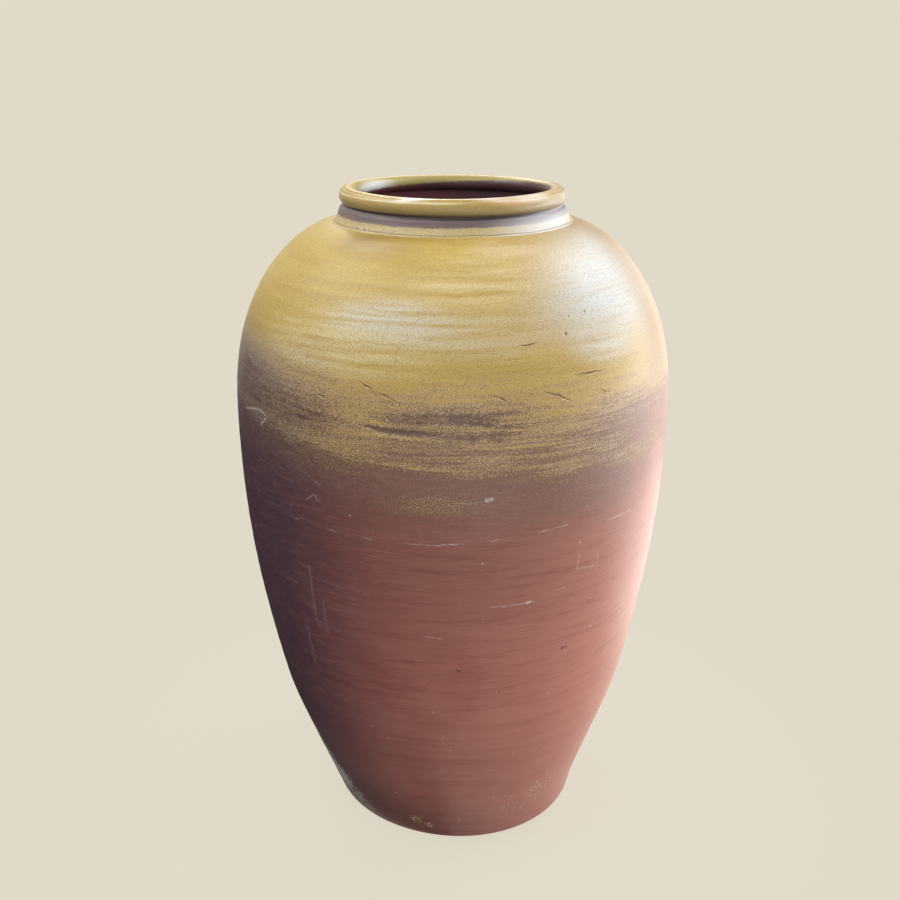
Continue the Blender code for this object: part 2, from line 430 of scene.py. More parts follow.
def turned(outline, closed=True):
    """A bmesh swept from an outline of (radius, level, skin), which runs down the outside."""
    body = bmesh.new()
    carried = [body.verts.layers.float.new(name) for name in CARRIED]
    chain = []
    for i, (radius, level, skin) in enumerate(outline):
        before, after = outline[max(i - 1, 0)], outline[min(i + 1, len(outline) - 1)]
        before = before if before[2] == skin else outline[i]
        after = after if after[2] == skin else outline[i]
        along = Vector((after[0] - before[0], after[1] - before[1])).normalized()
        corner = body.verts.new((0.0, radius, level))
        for layer, value in zip(carried, (radius, -along.y, along.x, float(skin))):
            corner[layer] = value
        chain.append(corner)
    pairs = list(zip(chain, chain[1:] + chain[:1])) if closed else list(zip(chain, chain[1:]))
    edges = [body.edges.new(pair) for pair in pairs]
    bmesh.ops.spin(
        body, geom=chain + edges, cent=(0, 0, 0), axis=(0, 0, 1),
        angle=2 * math.pi / SECTORS, steps=TURN_STEPS // SECTORS,
    )
    sector = body.verts[:] + body.edges[:] + body.faces[:]
    for i in range(1, SECTORS):
        copy = bmesh.ops.duplicate(body, geom=sector)["geom"]
        corners = [part for part in copy if isinstance(part, bmesh.types.BMVert)]
        turn = Matrix.Rotation(2 * math.pi * i / SECTORS, 3, "Z")
        bmesh.ops.rotate(body, cent=(0, 0, 0), matrix=turn, verts=corners)
    bmesh.ops.remove_doubles(body, verts=body.verts, dist=0.00001)
    bmesh.ops.recalc_face_normals(body, faces=body.faces)
    return body


def wall_outline(bottom, top, bottom_rise=JOINT_SLANT):
    """Outline of a wall ring whose joint faces slant up to the inside."""
    outer = [(wall_radius(z), z, 1) for z in reversed(rows(bottom, top, ROW_SPACING))]
    levels = rows(bottom + bottom_rise, top + JOINT_SLANT, INNER_SPACING)
    return outer + [(inner_radius(z), z, 0) for z in levels]


step = round(2000 * math.pi * BELLY_RADIUS / TURN_STEPS, 2)
print("a ring of the belly has", TURN_STEPS, "steps,", step, "mm each")

# %% [markdown]
# ## Uneven clay
#
# Nothing thrown by hand is truly round. The wall has low lumps as wide as a palm, and faint
# rings where the potter's fingers rose. Smooth noise gives both: read at a large scale for the
# lumps, and squashed in height for the rings. The mouth is a little wavy as well. Under the
# jar's own weight the wet foot spread towards the right front, and it stands a few millimetres
# to the right of the axis.

# %% Lumps, finger rings and the warp of the mouth
LUMP_SIZE = 0.17
LUMP_HEIGHT = 0.0011
RING_PITCH = 0.013
RING_HEIGHT = 0.00035
RING_DRIFT = 4  # how quickly a ring changes on its way round
RING_START = 7.3  # reads another part of the noise than the lumps do
TRUE_FOOT = 0.03  # the clay is even at the ground and uneven from this level up
RIM_WARP = 0.0009
WARP_START, WARP_SPAN = 0.80, 0.10  # level where the warp begins, and where it is full
SLUMP = 0.0085  # how far the wet edge spread where it spread most
SLUMP_TURN = 28  # towards the right of the front
SLUMP_LEVEL = 0.042
FOOT_SHIFT = 0.0028  # how far the foot was set off to the right
FOOT_SHIFT_LEVEL = 0.195


def turn_of(spot):
    """Angle of a place round the jar, in degrees to the right of the front."""
    return math.degrees(math.atan2(spot.x, -spot.y))


def unevenness(spot):
    """How far the clay stands proud of the turned form, in metres."""
    lumps = noise.noise(spot / LUMP_SIZE) * LUMP_HEIGHT
    pitch = spot.z / RING_PITCH + RING_START
    rings = noise.noise(Vector((spot.x * RING_DRIFT, spot.y * RING_DRIFT, pitch)))
    return (lumps + rings * RING_HEIGHT) * min(1.0, spot.z / TRUE_FOOT)


def warp(spot):
    """How much the mouth is raised, lowest in front and behind, fading out down the shoulder."""
    share = max(0.0, (spot.z - WARP_START) / WARP_SPAN)
    return -RIM_WARP * math.cos(2 * math.radians(turn_of(spot))) * min(1.0, share) ** 2


def slump(spot):
    """How far the foot spread sideways under the jar's weight, as a vector."""
    out = Vector((spot.x, spot.y, 0.0)) / BASE_RADIUS
    toward = max(0.0, out.dot(direction(SLUMP_TURN, 0))) ** 3
    spread = out * toward * SLUMP * max(0.0, 1 - spot.z / SLUMP_LEVEL) ** 2
    return spread + Vector((FOOT_SHIFT, 0.0, 0.0)) * max(0.0, 1 - spot.z / FOOT_SHIFT_LEVEL)


print("lumps up to", LUMP_HEIGHT * 1000, "mm, finger rings up to", RING_HEIGHT * 1000, "mm")

# %% [markdown]
# ## Marks in the clay
#
# Where wet rings were smoothed together the clay tore, and a pebble or a tool left pits. Each
# mark is a line through a few places on the wall, given as degrees to the right of the front
# and millimetres above the ground, with its half width and depth in millimetres. A tear has a
# dark sunken line and a raised lip along its lower side.

# %% Tears and pits
TEARS = [
    # half width, depth, lip, line
    (1.4, 1.0, 0.45, [(15.8, 749.6), (18.4, 748.8), (21.4, 751.4)]),
    (0.6, 0.5, 0.20, [(1, 745), (6, 743.2), (10.8, 741), (13.4, 739)]),
    (0.7, 0.4, 0.25, [(10.5, 733.7), (14, 734.6), (18, 735)]),
    (1.5, 1.2, 1.30, [(30.2, 711), (33.4, 709.6), (36.2, 710.3), (39.6, 709)]),
    (1.6, 1.2, 0.70, [(21.0, 696.9), (24.6, 691), (29.2, 679.6)]),
    (1.5, 1.0, 0.55, [(8.6, 696.9), (10.9, 692.6), (13.0, 686.9)]),
    (1.0, 0.7, 0.60, [(35.8, 690.8), (38.0, 686.5), (40.1, 681.2)]),
    (1.4, 1.0, 0.60, [(-34.3, 686.6), (-32.3, 684.6), (-30.3, 680.9)]),
    (0.6, 0.5, 0.15, [(-15.5, 740), (-13.0, 733.5), (-10.5, 726)]),
    (0.6, 0.4, 0.20, [(-28.2, 740.4), (-26.6, 739.6)]),
    (1.6, 1.1, 0.70, [(-21.9, 706.4), (-20.2, 703.6), (-18.6, 699.8)]),
    (1.2, 0.7, 0.70, [(-19.4, 701.4), (-15.6, 693.5), (-11.0, 684.6)]),
    (4.6, 0.5, 0.25, [(-20.4, 658), (-17.2, 655.6), (-14, 653.5), (-9.0, 652.4), (-3.5, 651.5)]),
    (0.95, 0.5, 0.12, [(-18, 856.4), (-8, 855.9), (4, 855.7), (15, 855.8), (25, 856.0)]),
    (0.95, 0.5, 0.10, [(-60, 858.3), (-50, 858.6), (-38, 858.6), (-28, 858.3), (-20, 857.6)]),
    (0.80, 0.6, 0.40, [(-12, 867.6), (-10, 866.2), (-7.5, 867.0)]),
    (0.50, 0.35, 0.15, [(30, 844.5), (44, 846.5), (60, 849.5)]),
    (0.50, 0.30, 0.15, [(40, 836.5), (52, 838.5), (64, 842.0)]),
]
PITS = [
    # half width, depth, place
    (2.0, 1.0, (29.3, 756.8)), (1.5, 0.8, (31.4, 775)), (1.5, 0.8, (37, 776.6)),
    (1.3, 0.7, (-3.3, 346)), (2.4, 1.2, (1.4, 328)), (3.2, 1.2, (30.6, 341.5)),
    (2.0, 1.0, (31.8, 341.0)), (1.2, 0.6, (12.8, 290)), (1.4, 0.8, (3.5, 181)),
    (1.3, 0.6, (-22, 270)), (1.6, 0.8, (30.4, 166)),
]
SMALL_TEARS_LOW = [
    (1.5, 0.9, 0.05, [(12.6, 194.8), (14.4, 194.2)]),
    (0.8, 0.5, 0.4, [(21.6, 303), (27.0, 306.0), (33.0, 310.5), (38.4, 314)]),
]
print(len(TEARS + SMALL_TEARS_LOW), "tears and", len(PITS), "pits")

# %% [markdown]
# ## Scratches
#
# Moving the jar about has scraped pale lines into the slip, and one ring line runs round where
# the lower wall and the belly were joined. They are too shallow to feel, so they are colour:
# each has a half width, a strength and a line, in the same units. Before firing, a cloth or a
# sleeve also swept through the sprayed ash, thinned it in bars and pushed it together in others.

# %% Pale scratches
SCRATCHES = [
    (0.95, 1.0, [
        (-63.7, 633), (-58.6, 640), (-54.8, 643), (-52.4, 641.5),
        (-51.4, 637), (-52.5, 632), (-54.1, 625),
    ]),
    (0.8, 0.6, [(-36.8, 550), (-35.9, 554), (-34.8, 558), (-34, 557), (-34.2, 553), (-33.1, 551)]),
    (0.6, 0.90, [
        (-41.7, 516.6), (-30, 515.0), (-20, 513.8), (-10, 513), (-4, 512.8),
        (0, 514), (10, 517.6), (21.6, 522.7), (28, 526),
    ]),
    (0.7, 0.6, [(40.8, 514.6), (45, 514.9), (50, 514.6)]),
    (0.6, 0.45, [(-38, 587), (-32.8, 572.7)]),
    (0.6, 0.40, [(-54.8, 350.7), (-40, 346.6), (-22.5, 342)]),
    (0.6, 0.40, [(-53.4, 417.8), (-44, 420)]),
    (0.7, 0.35, [(-38, 440), (-30, 436.5), (-21, 434)]),
    (0.6, 0.35, [(-38, 372), (-30.5, 370)]),
    (0.6, 0.35, [(-39.8, 257), (-30, 260), (-21, 264)]),
    (1.6, 0.22, [(-43.1, 363), (-43.2, 330), (-43.0, 295)]),
    (1.4, 0.20, [(-38.4, 456), (-38.6, 410), (-38.4, 363)]),
    (1.3, 0.18, [(-35, 409), (-35.1, 380), (-35, 358)]),
    (0.8, 0.55, [(9.4, 426), (13, 424.2), (17, 425.4), (20.6, 425)]),
    (1.7, 0.95, [(18.4, 425.6), (19.3, 426.4)]),
    (0.8, 0.6, [(26.3, 436), (28.6, 436.6)]),
    (0.8, 0.5, [(32.3, 480), (32.1, 470), (31.9, 459), (34, 457.5), (37.5, 456)]),
    (0.6, 0.35, [(38.4, 475), (38.5, 462), (38.4, 448)]),
    (0.7, 0.35, [(40, 386.6), (46, 387)]),
    (0.7, 0.4, [(49, 298), (52, 299.5)]),
    (0.8, 0.4, [(58, 455.6), (60.5, 452)]),
    (0.6, 0.4, [(-21, 202), (-15.5, 202.4)]),
    (0.7, 0.5, [(-4.5, 212), (-3.2, 209.5), (-2.8, 202)]),
    (0.9, 0.45, [(-0.9, 191.6), (-0.3, 190.4)]),
    (0.6, 0.4, [(-7.2, 133.6), (-5.4, 141), (-3.4, 148)]),
    (0.7, 0.4, [(19.6, 180), (20.3, 174), (19.7, 168), (20.4, 162)]),
    (1.2, 0.35, [(-7.5, 382), (-5.2, 380.4), (-2.8, 380)]),
    (0.6, 0.3, [(33, 544), (50, 540), (70, 535)]),
    (2.4, 1.0, [(7.6, 571), (8.8, 571.4)]),
    (0.7, 0.30, [(0, 568), (3.4, 567), (7.0, 569.4)]),
]
SWEEPS = [
    # half width, strength, line: where a cloth thinned the ash, or below 0 pushed it together
    (1.4, 0.6, [(-66, 684), (-58, 677), (-47, 668), (-35, 662.5), (-23, 660), (-16, 655)]),
    (1.0, 0.5, [(-70, 700), (-62, 692), (-54, 688)]),
    (1.1, 0.4, [(-50, 712), (-40, 707), (-30, 705), (-24, 700)]),
    (1.2, 0.6, [(-2, 668), (4, 666), (11, 660), (18, 658)]),
    (1.6, 0.6, [(2, 650), (6, 647), (12, 643)]),
    (1.0, 0.5, [(-34, 640), (-22, 642), (-8, 641)]),
    (1.2, 0.4, [(14, 682), (24, 676), (36, 672), (46, 666)]),
    (1.1, 0.4, [(-12, 700), (-2, 703), (10, 706)]),
    (1.0, 0.5, [(20, 634), (30, 637), (42, 634)]),
    (1.1, 0.4, [(-10, 626), (4, 629), (16, 624)]),
    (1.8, 0.6, [(-74, 660), (-55, 655), (-38, 654), (-24, 657)]),
    (1.3, 0.5, [(-19, 715), (-8, 711), (4, 709), (12, 707)]),
    (2.4, 0.45, [(-17, 675), (-6, 673), (4, 671), (13, 668)]),
    (2.0, 0.5, [(-1, 647), (6, 645), (13, 644)]),
    (1.1, -0.7, [(1, 659), (7, 658), (14, 655), (22, 652)]),
    (1.0, -0.9, [(1, 636), (7, 635), (15, 634), (24, 636)]),
    (1.2, 0.5, [(-20, 629), (-12, 627), (-5, 627)]),
    (1.2, -0.8, [(-22, 616), (-14, 612), (-6, 609), (4, 607)]),
    (1.2, -0.7, [(-30, 668), (-20, 664), (-12, 660)]),
    (1.2, -0.6, [(-26, 650), (-16, 647), (-8, 645.5), (-1, 645)]),
]
SPECKS = [
    (-24.7, 540.7), (32, 496), (6.9, 488), (-5.6, 259), (-25.5, 217), (28.1, 271), (39.8, 361),
    (-60, 474), (-22.9, 83), (-0.2, 80.5), (15.6, 81), (23.8, 72), (1.9, 37),
]
SPECK_HALF_WIDTH, SPECK_STRENGTH = 1.1, 0.8
for angle, level in SPECKS:
    SCRATCHES.append((SPECK_HALF_WIDTH, SPECK_STRENGTH, [(angle, level), (angle + 0.1, level)]))
print(len(SCRATCHES), "scratches and specks")

# %% [markdown]
# ## Cutting the marks
#
# The turned mesh is too coarse for a line 2 mm wide, so it is subdivided where a mark passes
# and nowhere else. A search tree of the corners finds these places quickly. Then each corner
# near a mark is pushed in or out along its own facing, and a value is kept on it, which the
# materials read later to colour the tear, its lip, the scratch or the swept ash.

# %% Find what lies near a mark
MARK_VALUES = ("tear", "lip", "scratch", "sweep")
WAVER, WAVER_SIZE = 0.0013, 0.006  # how far a line strays up and down, and how quickly


def on_wall(angle, level):
    """The place on the outer wall at that angle in degrees and level in millimetres."""
    turn, z = math.radians(angle), level / 1000
    return Vector((math.sin(turn) * outer_radius(z), -math.cos(turn) * outer_radius(z), z))


def walked(line):
    """Places along a wavering line on the wall, 1 mm apart, each with its share of the way."""
    corners = [on_wall(*place) for place in line]
    lengths = [(b - a).length for a, b in zip(corners, corners[1:])]
    whole = max(sum(lengths), 0.001)
    done, places = 0.0, []
    for a, b, length in zip(corners, corners[1:], lengths):
        count = max(1, round(length / 0.001))
        for i in range(count):
            places.append((a.lerp(b, i / count), (done + length * i / count) / whole))
        done += length
    places.append((corners[-1], 1.0))
    for spot, _ in places:
        spot.z += WAVER * noise.noise(spot / WAVER_SIZE)
    return places


def search_tree(body):
    """A tree that finds the outer corners of a bmesh by their place."""
    skin = body.verts.layers.float["skin"]
    body.verts.ensure_lookup_table()
    tree = kdtree.KDTree(len(body.verts))
    for corner in body.verts:
        if corner[skin] > 0.99:
            tree.insert(corner.co, corner.index)
    tree.balance()
    return tree


def refine(body, lines, reach, cuts):
    """Subdivide the outer faces within reach of any of the lines."""
    tree = search_tree(body)
    near = set()
    for line in lines:
        for place, _ in walked(line):
            near.update(found[1] for found in tree.find_range(place, reach))
    edges = [e for e in body.edges if e.verts[0].index in near and e.verts[1].index in near]
    bmesh.ops.subdivide_edges(body, edges=edges, cuts=cuts, use_grid_fill=True)


print("the front of the belly is at", [round(value, 3) for value in on_wall(0, 600)])

# %% Cut the tears and pits
TEAR_END = 0.30  # how wide and deep a tear still is at its ends
LIP_PLACE, LIP_WIDTH = 1.5, 0.5  # in half widths of the tear


def nearest(tree, line, reach):
    """Corners within reach of a line: {index: (distance, height above the line, share)}."""
    found = {}
    for place, share in walked(line):
        for spot, index, distance in tree.find_range(place, reach):
            if index not in found or distance < found[index][0]:
                found[index] = (distance, spot.z - place.z, share)
    return found


def cut_tears(body, tree, tears, depths):
    """Sink each tear, raise its lower lip, and keep both as values from 0 to 1."""
    tear, lip = body.verts.layers.float["tear"], body.verts.layers.float["lip"]
    for half, depth, lip_height, line in tears:
        half, depth, lip_height = half / 1000, depth / 1000, lip_height / 1000
        for index, (distance, above, share) in nearest(tree, line, half * 4).items():
            corner = body.verts[index]
            taper = TEAR_END + (1 - TEAR_END) * math.sin(math.pi * share)
            fine, coarse = noise.noise(corner.co / 0.0022), noise.noise(corner.co / 0.007)
            ragged = 0.9 + 0.4 * fine + 0.5 * coarse
            across = distance / (half * taper * max(0.25, ragged))
            hollow = max(0.0, 1 - across * across) ** 2
            ridge = math.exp(-(((across - LIP_PLACE) / LIP_WIDTH) ** 2)) * (above < 0)
            ridge *= taper * max(0.0, ragged)
            depths[index] = depths.get(index, 0.0) - depth * hollow * taper + lip_height * ridge
            corner[tear] = max(corner[tear], min(1.0, (1.3 + half / 0.0023) * hollow))
            corner[lip] = max(corner[lip], ridge)


def cut_pits(body, tree, pits, depths):
    """Sink each pit, and colour it as a tear."""
    tear = body.verts.layers.float["tear"]
    for half, depth, place in pits:
        for index, (distance, _, _) in nearest(tree, [place, place], half * 0.002).items():
            corner = body.verts[index]
            ragged = 1 + 0.5 * noise.noise(corner.co / 0.003)
            hollow = max(0.0, 1 - (distance / (half / 1000 * ragged)) ** 2)
            depths[index] = depths.get(index, 0.0) - depth / 1000 * hollow
            corner[tear] = max(corner[tear], hollow**0.5)


print("a scratch of 10 degrees at the belly is", len(walked([(0, 600), (10, 600)])), "mm long")

# %% Draw the scratches and sweeps
def draw_scratches(body, tree, scratches):
    """Keep each scratch as a broken line of values."""
    pale = body.verts.layers.float["scratch"]
    for half, strength, line in scratches:
        for index, (distance, _, _) in nearest(tree, line, half * 0.0025).items():
            corner = body.verts[index]
            broken = 0.75 + 0.6 * noise.noise(corner.co / 0.0035)
            amount = max(0.0, 1 - distance / (half * 0.0014)) * min(1.0, broken) * strength * 1.3
            corner[pale] = max(corner[pale], min(1.0, amount))


def draw_sweeps(body, tree, sweeps):
    """Add up the sweeps, each faint at its ends and in patches along it."""
    swept = body.verts.layers.float["sweep"]
    for half, strength, line in sweeps:
        for index, (distance, _, share) in nearest(tree, line, half * 0.002).items():
            corner = body.verts[index]
            faint = max(0.0, 1 - (distance / (half * 0.002)) ** 2)
            faint *= min(1.0, 4 * min(share, 1 - share) + 0.1)
            broken = 0.7 + 1.2 * noise.noise(corner.co / 0.012)
            corner[swept] += faint * strength * max(0.0, broken)


def cut_marks(body, tears, pits, scratches, sweeps):
    """Fill the mark values, and return {corner index: depth in metres} of tears and pits."""
    for name in MARK_VALUES:
        body.verts.layers.float.new(name)
    tree = search_tree(body)
    depths = {}
    cut_tears(body, tree, tears, depths)
    cut_pits(body, tree, pits, depths)
    draw_scratches(body, tree, scratches)
    draw_sweeps(body, tree, sweeps)
    return depths


print("values kept on the corners:", ", ".join(MARK_VALUES))

# %% [markdown]
# ## Finishing a piece
#
# Each piece goes through the same steps: find its marks, subdivide around them, set every
# outer corner on the true curve, push it by the unevenness and the marks, and hand the mesh to
# Blender. Edges where the skin meets a joint stay sharp, and the rest is shaded smooth. The
# materials come after this, and then the pieces are made one by one.

# %% From bmesh to a finished piece
SHARP_ANGLE = math.radians(40)
TEAR_REACH, TEAR_CUTS = 0.0056, 5  # how far round a line the mesh is cut finer, and how often
SCRATCH_REACH, SCRATCH_CUTS = 0.005, 3
SWEEP_REACH, SWEEP_CUTS = 0.006, 1


def shaped(body, depths):
    """Push the outer corners along their facing, and let the whole mouth follow its warp."""
    radius, facing_out, facing_up, skin = [body.verts.layers.float[name] for name in CARRIED]
    for corner in body.verts:
        spot = corner.co.copy()
        around = Vector((spot.x, spot.y, 0.0))
        if around.length > 0.001:
            around.normalize()
        if corner[skin] > 0.5:
            facing = Vector((corner[facing_out], corner[facing_up])).normalized()
            push = unevenness(spot) + depths.get(corner.index, 0.0)
            out = corner[radius] + facing.x * push
            corner.co = (around.x * out, around.y * out, spot.z + facing.y * push)
        corner.co += slump(spot)
        corner.co.z += warp(spot)


def finished(name, body, outer, marks=((), (), (), ())):
    """Turn a bmesh into a piece of the jar that stands for the CAD node of that name.

    Its outer skin has the given material, and its inside and its joints are bare clay.
    """
    tears, pits, scratches, sweeps = marks
    if tears or pits:
        lines = [tear[3] for tear in tears] + [[pit[2], pit[2]] for pit in pits]
        refine(body, lines, TEAR_REACH, TEAR_CUTS)
    if scratches:
        refine(body, [scratch[2] for scratch in scratches], SCRATCH_REACH, SCRATCH_CUTS)
    if sweeps:
        refine(body, [sweep[2] for sweep in sweeps], SWEEP_REACH, SWEEP_CUTS)
    shaped(body, cut_marks(body, *marks))
    skin = body.verts.layers.float["skin"]
    for face in body.faces:
        face.smooth = True
        face.material_index = 0 if all(corner[skin] > 0.5 for corner in face.verts) else 1
    mesh = bpy.data.meshes.new(name)
    body.to_mesh(mesh)
    body.free()
    mesh.set_sharp_from_angle(angle=SHARP_ANGLE)
    mesh.materials.append(outer)
    mesh.materials.append(inside_clay)
    piece = bpy.data.objects.new(name + "_fired", mesh)
    scene.collection.objects.link(piece)
    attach(piece, "root")
    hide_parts(name)
    triangles = sum(len(face.vertices) - 2 for face in mesh.polygons)
    print(piece.name, "has", triangles, "triangles")


def marks_between(low, high):
    """All tears, pits, scratches and sweeps that reach between two levels, with a margin."""
    low, high = 1000 * low - 8, 1000 * high + 8
    groups = []
    for marks, part in ((TEARS + SMALL_TEARS_LOW, 3), (PITS, 2), (SCRATCHES, 2), (SWEEPS, 2)):
        lines = [[mark[part]] if marks is PITS else mark[part] for mark in marks]
        near = [any(low < place[1] < high for place in line) for line in lines]
        groups.append([mark for mark, kept in zip(marks, near) if kept])
    return groups


print("marks on the belly:", [len(group) for group in marks_between(LOWER_JOINT, BELLY_JOINT)])

# %% [markdown]
# ## Streaks, grains and coats
#
# Three things come back in every finish of this jar. A brush or a cloth leaves level streaks,
# which are noise squeezed along the wall. Sprayed or splashed matter leaves round grains, which
# are noise turned out of line with the wall. And a finish is built as the potter built it, one
# coat over the other, so a list of coats is mixed in turn, each one where its share is high.

# %% Streaks, grains and coats
GRAIN_TURN = (0.6, 0.4, 0.3)  # turns the noise's own grid out of line with the wall


def streaky(tree, place, height, stretch, detail=4.0, roughness=0.6):
    """Noise in level streaks, with their height in mm and how many times longer they are."""
    along = add(tree, "Mapping", {"Vector": place, "Scale": (1 / stretch, 1 / stretch, 1)})
    values = {"Vector": along, "Scale": per_metre(height), "Detail": detail}
    return add(tree, "TexNoise", {**values, "Roughness": roughness})


def grainy(tree, place, size, detail=2.0, roughness=0.5):
    """Noise in round grains of that size in mm."""
    turned = add(tree, "Mapping", {"Vector": place, "Rotation": GRAIN_TURN})
    values = {"Vector": turned, "Scale": per_metre(size), "Detail": detail}
    return add(tree, "TexNoise", {**values, "Roughness": roughness})


def wandering(tree, value, pattern, reach):
    """The value pushed up and down by a noise pattern, by half the reach at most."""
    push = add(tree, "Math", {0: pattern, 1: 0.5}, operation="SUBTRACT")
    return add(tree, "Math", {0: push, 1: reach, 2: value}, operation="MULTIPLY_ADD")


def level_line(tree, place, pattern, reach, level, half_width):
    """1 on a thin line round the jar, which a noise pattern moves up and down, and 0 elsewhere."""
    height = add(tree, "VectorMath", {0: place, 1: UP}, operation="DOT_PRODUCT")
    height = add(tree, "Math", {0: pattern, 1: reach, 2: height}, operation="MULTIPLY_ADD")
    return add(tree, "Math", {0: height, 1: level, 2: half_width}, operation="COMPARE")


def coated(tree, colour, coats):
    """The colour under coats of (share, hex colour), each laid over the ones before it."""
    for share, code in coats:
        colour = add(tree, "Mix", {0: share, 1: colour, 2: linear(code)}, data_type="RGBA")
    return colour


print("grains of 1 mm repeat", per_metre(1), "times in a metre")

# %% [markdown]
# ## Red iron slip
#
# The body is brushed with a slip of iron-rich clay. Fired, it is a satin red-brown with level
# brush streaks 14 times as long as high, and darker furrows between them. Painted shade makes it
# darker towards the belly and almost black on the left. Painted light makes it warm on the right,
# and a painted reflection makes it pale near the right edge. Dust of the ash dulls it below the
# ash line. The streaks also raise the surface a little, which breaks up the sheen.

# %% Slip: ground, light and shade
STREAK_STRETCH = 14.0
BROAD_STREAK, THIN_STREAK = 10, 2.4  # mm high
LIMB_DIRECTION = (1.0, 1.2, 0.0)  # grows fastest towards the right edge of the jar
FAR_SIDE = (0.87, 0.5, 0.0)  # the right rear, where the slip is a guess and stays plain brown
# the left side, which painted shade darkens almost to black
SHADED_LEFT_SIDE = (-1.0, 0.25, 0.0)
ASH_TILT = (0.085, -0.05, 1.0)  # the direction in which the ash gets thicker


def slip_ground(tree, place, broad):
    """The slip's own colour, in soft clouds and broad streaks."""
    values = {"Vector": place, "Scale": per_metre(75), "Detail": 4.0, "Roughness": 0.55}
    clouds = add(tree, "Math", {0: add(tree, "TexNoise", values), 1: 0.58}, operation="MULTIPLY")
    tone = add(tree, "Math", {0: broad, 1: 0.42, 2: clouds}, operation="MULTIPLY_ADD")
    tone = add(tree, "MapRange", {"Value": tone, "From Min": 0.40, "From Max": 0.60})
    return coated(tree, linear("#9b5b52"), [(tone, "#a96b5f")])


def slip_light(tree, place):
    """Shares of painted light on the right and of a painted reflection near the right edge."""
    rounding = fade(tree, place, LIMB_DIRECTION, 0.14, 0.31, 1.0, 0.30, ease="LINEAR")
    # painted light on the right side
    painted_light = fade(tree, place, (1.0, -0.2, 0.0), 0.02, 0.27, most=0.85)
    # painted reflection: a pale haze near the right edge
    haze = fade(tree, place, LIMB_DIRECTION, -0.09, 0.20, most=0.60)
    shares = (painted_light, haze)
    return [add(tree, "Math", {0: part, 1: rounding}, operation="MULTIPLY") for part in shares]


def slip_belly_shade(tree, place, painted_light):
    """Share of the painted shade towards the belly, less of it where painted light lies."""
    # painted shade, darker up towards the belly
    belly_shade = fade(tree, place, UP, 0.27, 0.56, most=0.66)
    shaded = add(tree, "MapRange", {"Value": painted_light, "To Min": 1.0, "To Max": 0.45})
    return add(tree, "Math", {0: belly_shade, 1: shaded}, operation="MULTIPLY")


def slip_far(tree, place):
    """Share of the plain brown at the right rear, the same at every level."""
    facing = add(tree, "VectorMath", {0: place, 1: (1.0, 1.0, 0.0)}, operation="MULTIPLY")
    facing = add(tree, "VectorMath", {0: facing}, operation="NORMALIZE")
    return fade(tree, facing, FAR_SIDE, 0.60, 0.95, most=0.85)


print("a brush streak is", THIN_STREAK, "mm high and", THIN_STREAK * STREAK_STRETCH, "mm long")

# %% Slip: streaks, furrows and dust
DUST_LEVELS = (0.545, 0.630)


def slip_furrows(tree, place, broad, thin):
    """Share of the dark furrows between brush strokes, fewer towards the foot."""
    both = add(tree, "Math", {0: thin, 1: broad})
    values = {"Value": both, "From Min": 0.97, "From Max": 0.76, "To Max": 0.40}
    above = fade(tree, place, UP, 0.16, 0.38, 0.25, 1.0, ease="LINEAR")
    return add(tree, "Math", {0: add(tree, "MapRange", values), 1: above}, operation="MULTIPLY")


def ash_dust(tree, place, broad, haze):
    """Share of the dust under the ash line, which the painted reflection on the right covers."""
    dust = fade(tree, place, ASH_TILT, *DUST_LEVELS, most=0.80, wander=(broad, 0.05))
    clear = add(tree, "MapRange", {"Value": haze, "From Max": 0.40, "To Min": 1.0, "To Max": 0.1})
    return add(tree, "Math", {0: dust, 1: clear}, operation="MULTIPLY")


def brushed(tree, place):
    """Thin streaks, fine grain and the height that both give."""
    thin = streaky(tree, place, THIN_STREAK, STREAK_STRETCH, detail=3.0)
    fine = add(tree, "TexNoise", {"Vector": place, "Scale": per_metre(1.1), "Detail": 1.0})
    return thin, fine, add(tree, "Math", {0: thin, 1: 0.6, 2: fine}, operation="MULTIPLY_ADD")


def slip(tree, place):
    """Colour and height of the brushed slip, as two sockets."""
    thin, fine, height = brushed(tree, place)
    broad = streaky(tree, place, BROAD_STREAK, STREAK_STRETCH, detail=3.0)
    streaks = {"Value": thin, "From Min": 0.53, "From Max": 0.72, "To Max": 0.36}
    specks = {"Value": fine, "From Min": 0.60, "From Max": 0.80, "To Max": 0.22}
    painted_light, haze = slip_light(tree, place)
    colour = coated(tree, slip_ground(tree, place, broad), [
        # painted light on the right side
        (painted_light, "#b87768"),
        # painted shade towards the belly
        (slip_belly_shade(tree, place, painted_light), "#74493f"),
        (slip_furrows(tree, place, broad, thin), "#7a443c"),
        # painted reflection near the right edge
        (haze, "#d0a399"),
        (slip_far(tree, place), "#6e4238"),
        (ash_dust(tree, place, broad, haze), "#77544b"),
        # painted shade, almost black on the left
        (fade(tree, place, SHADED_LEFT_SIDE, 0.035, 0.24, most=0.85, wander=(broad, 0.10)), "#473842"),
        (add(tree, "MapRange", streaks), "#ad7668"),
        (add(tree, "MapRange", specks), "#5f3f3d"),
    ])
    return colour, height


print("the dust starts", round(1000 * DUST_LEVELS[0]), "mm up")

# %% [markdown]
# ## Sprayed ash glaze
#
# The ash was sprayed from above, most of it from the right front, so its edge runs round the
# jar as a slightly tilted line. On the shoulder the drops ran together to a solid ochre. Lower
# down they stay single grains about 1 mm wide over the dark slip. So there are two steps: how
# much ash there is at a place, and fine noise that is cut off at that amount to give grains.
# The amount grows with the level in a few steps, more in some lobes and less in others, and
# level streaks and the strokes of a cloth break it up.

